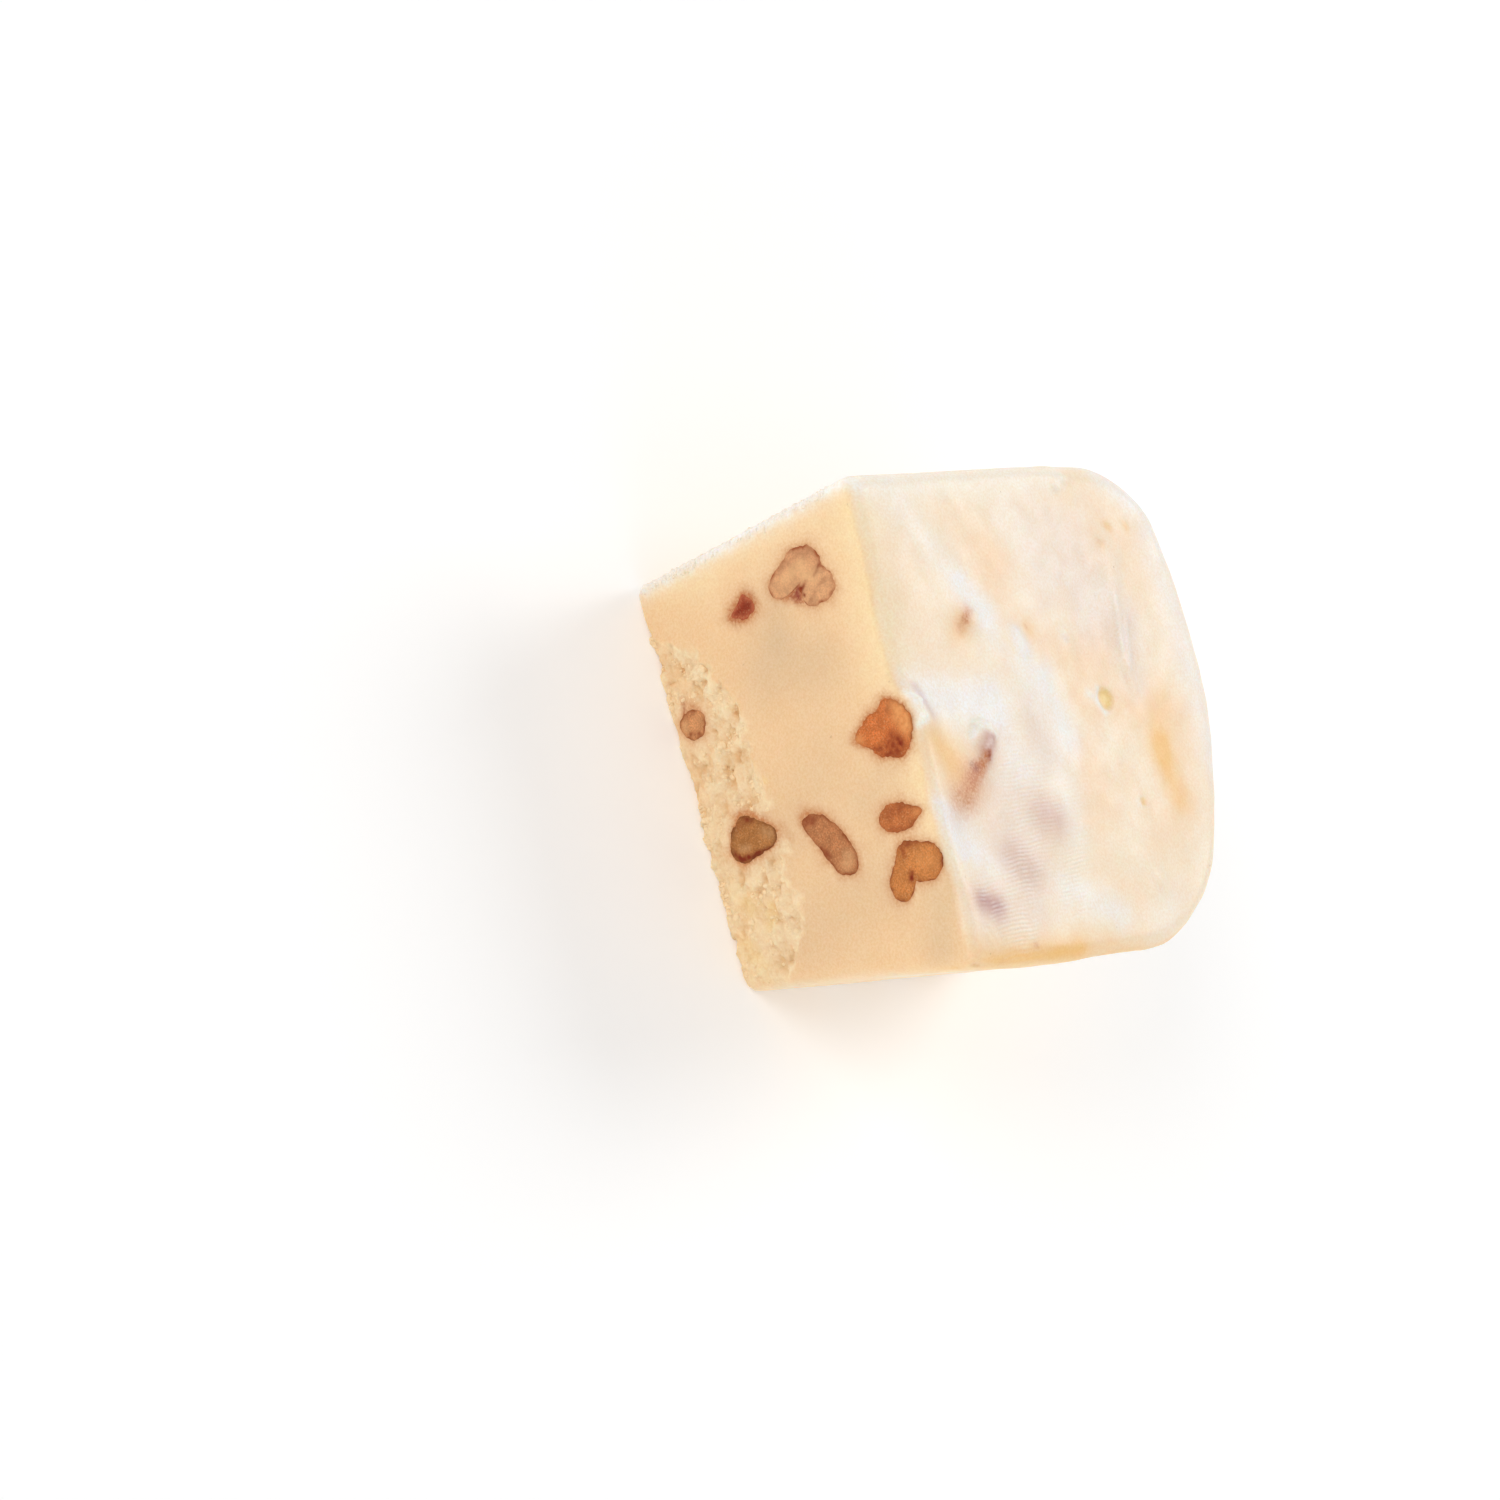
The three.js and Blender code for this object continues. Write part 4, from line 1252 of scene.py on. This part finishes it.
def fudge_roughness(shader):
    """Uneven satin, and uneven gloss where the poured skin lies flat."""
    unevenness = shader.grain(2.5, detail=3.0)
    satin = shader.spread(unevenness, 0.3, 0.7, *SATIN)
    glossy = shader.spread(unevenness, 0.3, 0.7, *GLOSSY)
    inputs = {0: shader.value("gloss"), 2: satin, 3: glossy}
    return shader.add("ShaderNodeMix", 0, inputs, data_type="FLOAT")


def fudge_material(name, bare, softness):
    """Layered cream tones with a sugary grain over a bare colour, with a share of light let inside."""
    material = bpy.data.materials.new(name)
    shader = Shader(material)
    wrinkles = skin_wrinkles(shader)
    crags, hollows = torn_crags(shader)
    colour = sugary(shader, fudge_tones(shader, bare))
    # painted highlights on the crags and painted shade between them; whitish lines on the wrinkles
    overlays = ((wrinkles, 0.4, "frost_and_painted_highlight"), (hollows, 0.35, "hollow_shade"), (crags, 0.3, "pale"))
    for share, strength, tone in overlays:
        colour = shader.mix(shader.times(share, strength), colour, linear(*TONES[tone]))

    grain = shader.math("ADD", shader.grain(0.2, detail=3.0), shader.grain(0.55))
    grain = shader.times(grain, shader.spread(shader.value("rough"), 0.0, 1.0, 0.15, 1.0))
    height = shader.math("ADD", shader.times(wrinkles, WRINKLE_HEIGHT), grain)
    height = shader.math("ADD", height, shader.times(crags, CRAG_HEIGHT))
    shader.put(shader.surface, {
        "Base Color": colour, "Roughness": fudge_roughness(shader), "IOR": FUDGE_IOR,
        "Subsurface Radius": LIGHT_REACH, "Subsurface Scale": MM,
        "Normal": shader.bump(height, depth=0.09, strength=0.35),
    })
    if softness:
        soft = shader.spread(shader.value("firm"), 0.0, 1.0, softness, 0.0)
        shader.put(shader.surface, {"Subsurface Weight": soft})
    return material


def scaled(colour, share):
    """A darker or lighter form of a colour."""
    return tuple(min(1.0, channel * share) for channel in colour[:3]) + (1.0,)


def pecan_material(number, look):
    """Cut nut: fine-grained flesh with pale and dark-skinned places and a thin dark rim."""
    material = bpy.data.materials.new(f"pecan_{number}")
    shader = Shader(material)
    flesh = linear(*look["flesh"])
    uneven = shader.patches(size=1.4, seen=(0.35, 0.65), share=(0.0, 1.0), detail=3.0)
    colour = shader.mix(uneven, scaled(flesh, 0.82), scaled(flesh, 1.12))
    most = look.get("freckles", 0.7)
    freckles = shader.patches(size=0.22, seen=(0.42, 0.62), share=(0.0, most), detail=3.0)
    colour = shader.mix(freckles, colour, scaled(flesh, 0.62))
    flecks = shader.patches(size=0.24, seen=(0.56, 0.68), share=(0.0, 0.3))
    colour = shader.mix(flecks, colour, linear(*PECAN_PALE))
    for name, usual in (("pale", PECAN_PALE), ("dark", PECAN_DARK), ("rim", PECAN_RIM)):
        tone = look.get(f"{name}_tone", usual)
        colour = shader.mix(shader.value(name), colour, linear(*tone))
    shader.put(shader.surface, {
        "Base Color": colour, "Roughness": 0.6, "Specular IOR Level": 0.1,
        "Normal": shader.bump(shader.grain(0.25, detail=3.0), depth=0.06, strength=0.4),
    })
    return material


# Floor, light and camera

CAMERA_AT = Vector((35.75, -278.15, 247.94)) * MM
CAMERA_AIM = Vector((-2.97, -38.52, 20.0)) * MM
CAMERA_ROLL = math.radians(68.25)
CAMERA_LENS = 72.0
CAMERA_SENSOR = 36.0
CLIP_START = 10 * MM
FLOOR_SIZE = 40000
FLOOR_DROP = 0.02
FLOOR_WHITE = (0.96, 0.96, 0.958, 1.0)
FLOOR_GLOW = (0.15, 1.0)  # near the piece and far from it, so that the floor stays white
FLOOR_FADE = (300 * MM, 1200 * MM)
SKY_WHITE = (1.0, 1.0, 1.0, 1.0)
SKY_GLOW = (1.0, 0.42)  # at the horizon and higher up
SKY_FADE = (0.12, 0.45)  # height of the look between which it changes
LAMPS = {  # place, size and power
    "back_softbox": ((-0.10, 0.62, 0.62), 0.45, 2.5),
    "top_softbox": ((0.25, 0.05, 0.80), 0.60, 0.45),
    "front_fill": ((-0.35, -0.62, 0.50), 0.45, 1.85),
    "side_fill": ((0.65, -0.15, 0.25), 0.50, 0.65),
}
LAMP_AIM = Vector((0.0, 0.0, 0.02))


def make_floor():
    half = FLOOR_SIZE / 2
    corners = [(-half, -half), (half, -half), (half, half), (-half, half)]
    floor = make_object("floor", [(x, y, -FLOOR_DROP) for x, y in corners], [(0, 1, 2, 3)])
    material = bpy.data.materials.new("floor")
    shader = Shader(material)
    away = shader.add("ShaderNodeVectorMath", "Value", {"Vector": shader.place()}, operation="LENGTH")
    shader.put(shader.surface, {
        "Base Color": FLOOR_WHITE, "Roughness": 0.9, "Emission Color": SKY_WHITE,
        "Emission Strength": shader.spread(away, *FLOOR_FADE, *FLOOR_GLOW),
    })
    floor.data.materials.append(material)


def make_lamps():
    for name, (place, size, power) in LAMPS.items():
        light = bpy.data.lights.new(name, "AREA")
        light.shape = "DISK"
        light.size = size
        light.energy = power
        lamp = bpy.data.objects.new(name, light)
        lamp.location = place
        lamp.rotation_euler = (LAMP_AIM - Vector(place)).to_track_quat("-Z", "Y").to_euler()
        bpy.context.scene.collection.objects.link(lamp)


def make_sky():
    world = bpy.data.worlds.new("studio")
    sky = Shader(world, "Background")
    direction = sky.add("ShaderNodeTexCoord", "Generated")
    height = sky.add("ShaderNodeSeparateXYZ", "Z", {"Vector": direction})
    sky.put(sky.surface, {"Color": SKY_WHITE, "Strength": sky.spread(height, *SKY_FADE, *SKY_GLOW)})
    bpy.context.scene.world = world


def make_camera():
    data = bpy.data.cameras.new("camera")
    data.lens = CAMERA_LENS
    data.sensor_width = CAMERA_SENSOR
    data.clip_start = CLIP_START
    camera = bpy.data.objects.new("camera", data)
    aim = (CAMERA_AIM - CAMERA_AT).to_track_quat("-Z", "Y").to_matrix().to_4x4()
    camera.matrix_world = Matrix.Translation(CAMERA_AT) @ aim @ Matrix.Rotation(CAMERA_ROLL, 4, "Z")
    bpy.context.scene.collection.objects.link(camera)
    bpy.context.scene.camera = camera


# Putting it together

pecan_cuts = measure_pecans()


def main():
    """Builds every piece, with its material and what it rides on and replaces, then the studio."""
    block = make_object("fudge_square", *block_surface())
    pockets = []
    for number, cut in pecan_cuts.items():
        look = PECAN_LOOKS[number]
        piece = make_pecan(number, cut, look)
        piece.data.materials.append(pecan_material(number, look))
        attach(piece, "root")
        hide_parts(f"pecan_{number}")
        pockets.append(make_pocket(number, cut))
    crumbs = make_crumbs(points_of(block))
    crumbs.data.materials.append(fudge_material("crumbs", CRUMB_CREAM, softness=0.0))
    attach(crumbs, "root")

    cut_pockets(block, pockets)
    block.data.shade_smooth()
    block.data.set_sharp_from_angle(angle=CREASE)
    mark_block(block)
    block.data.materials.clear()
    block.data.materials.append(fudge_material("fudge", CUT_CREAM, softness=0.5))
    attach(block, "root")
    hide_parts("fudge_block")

    make_floor()
    make_sky()
    make_lamps()
    make_camera()
    bpy.context.scene.view_settings.view_transform = "Standard"


main()
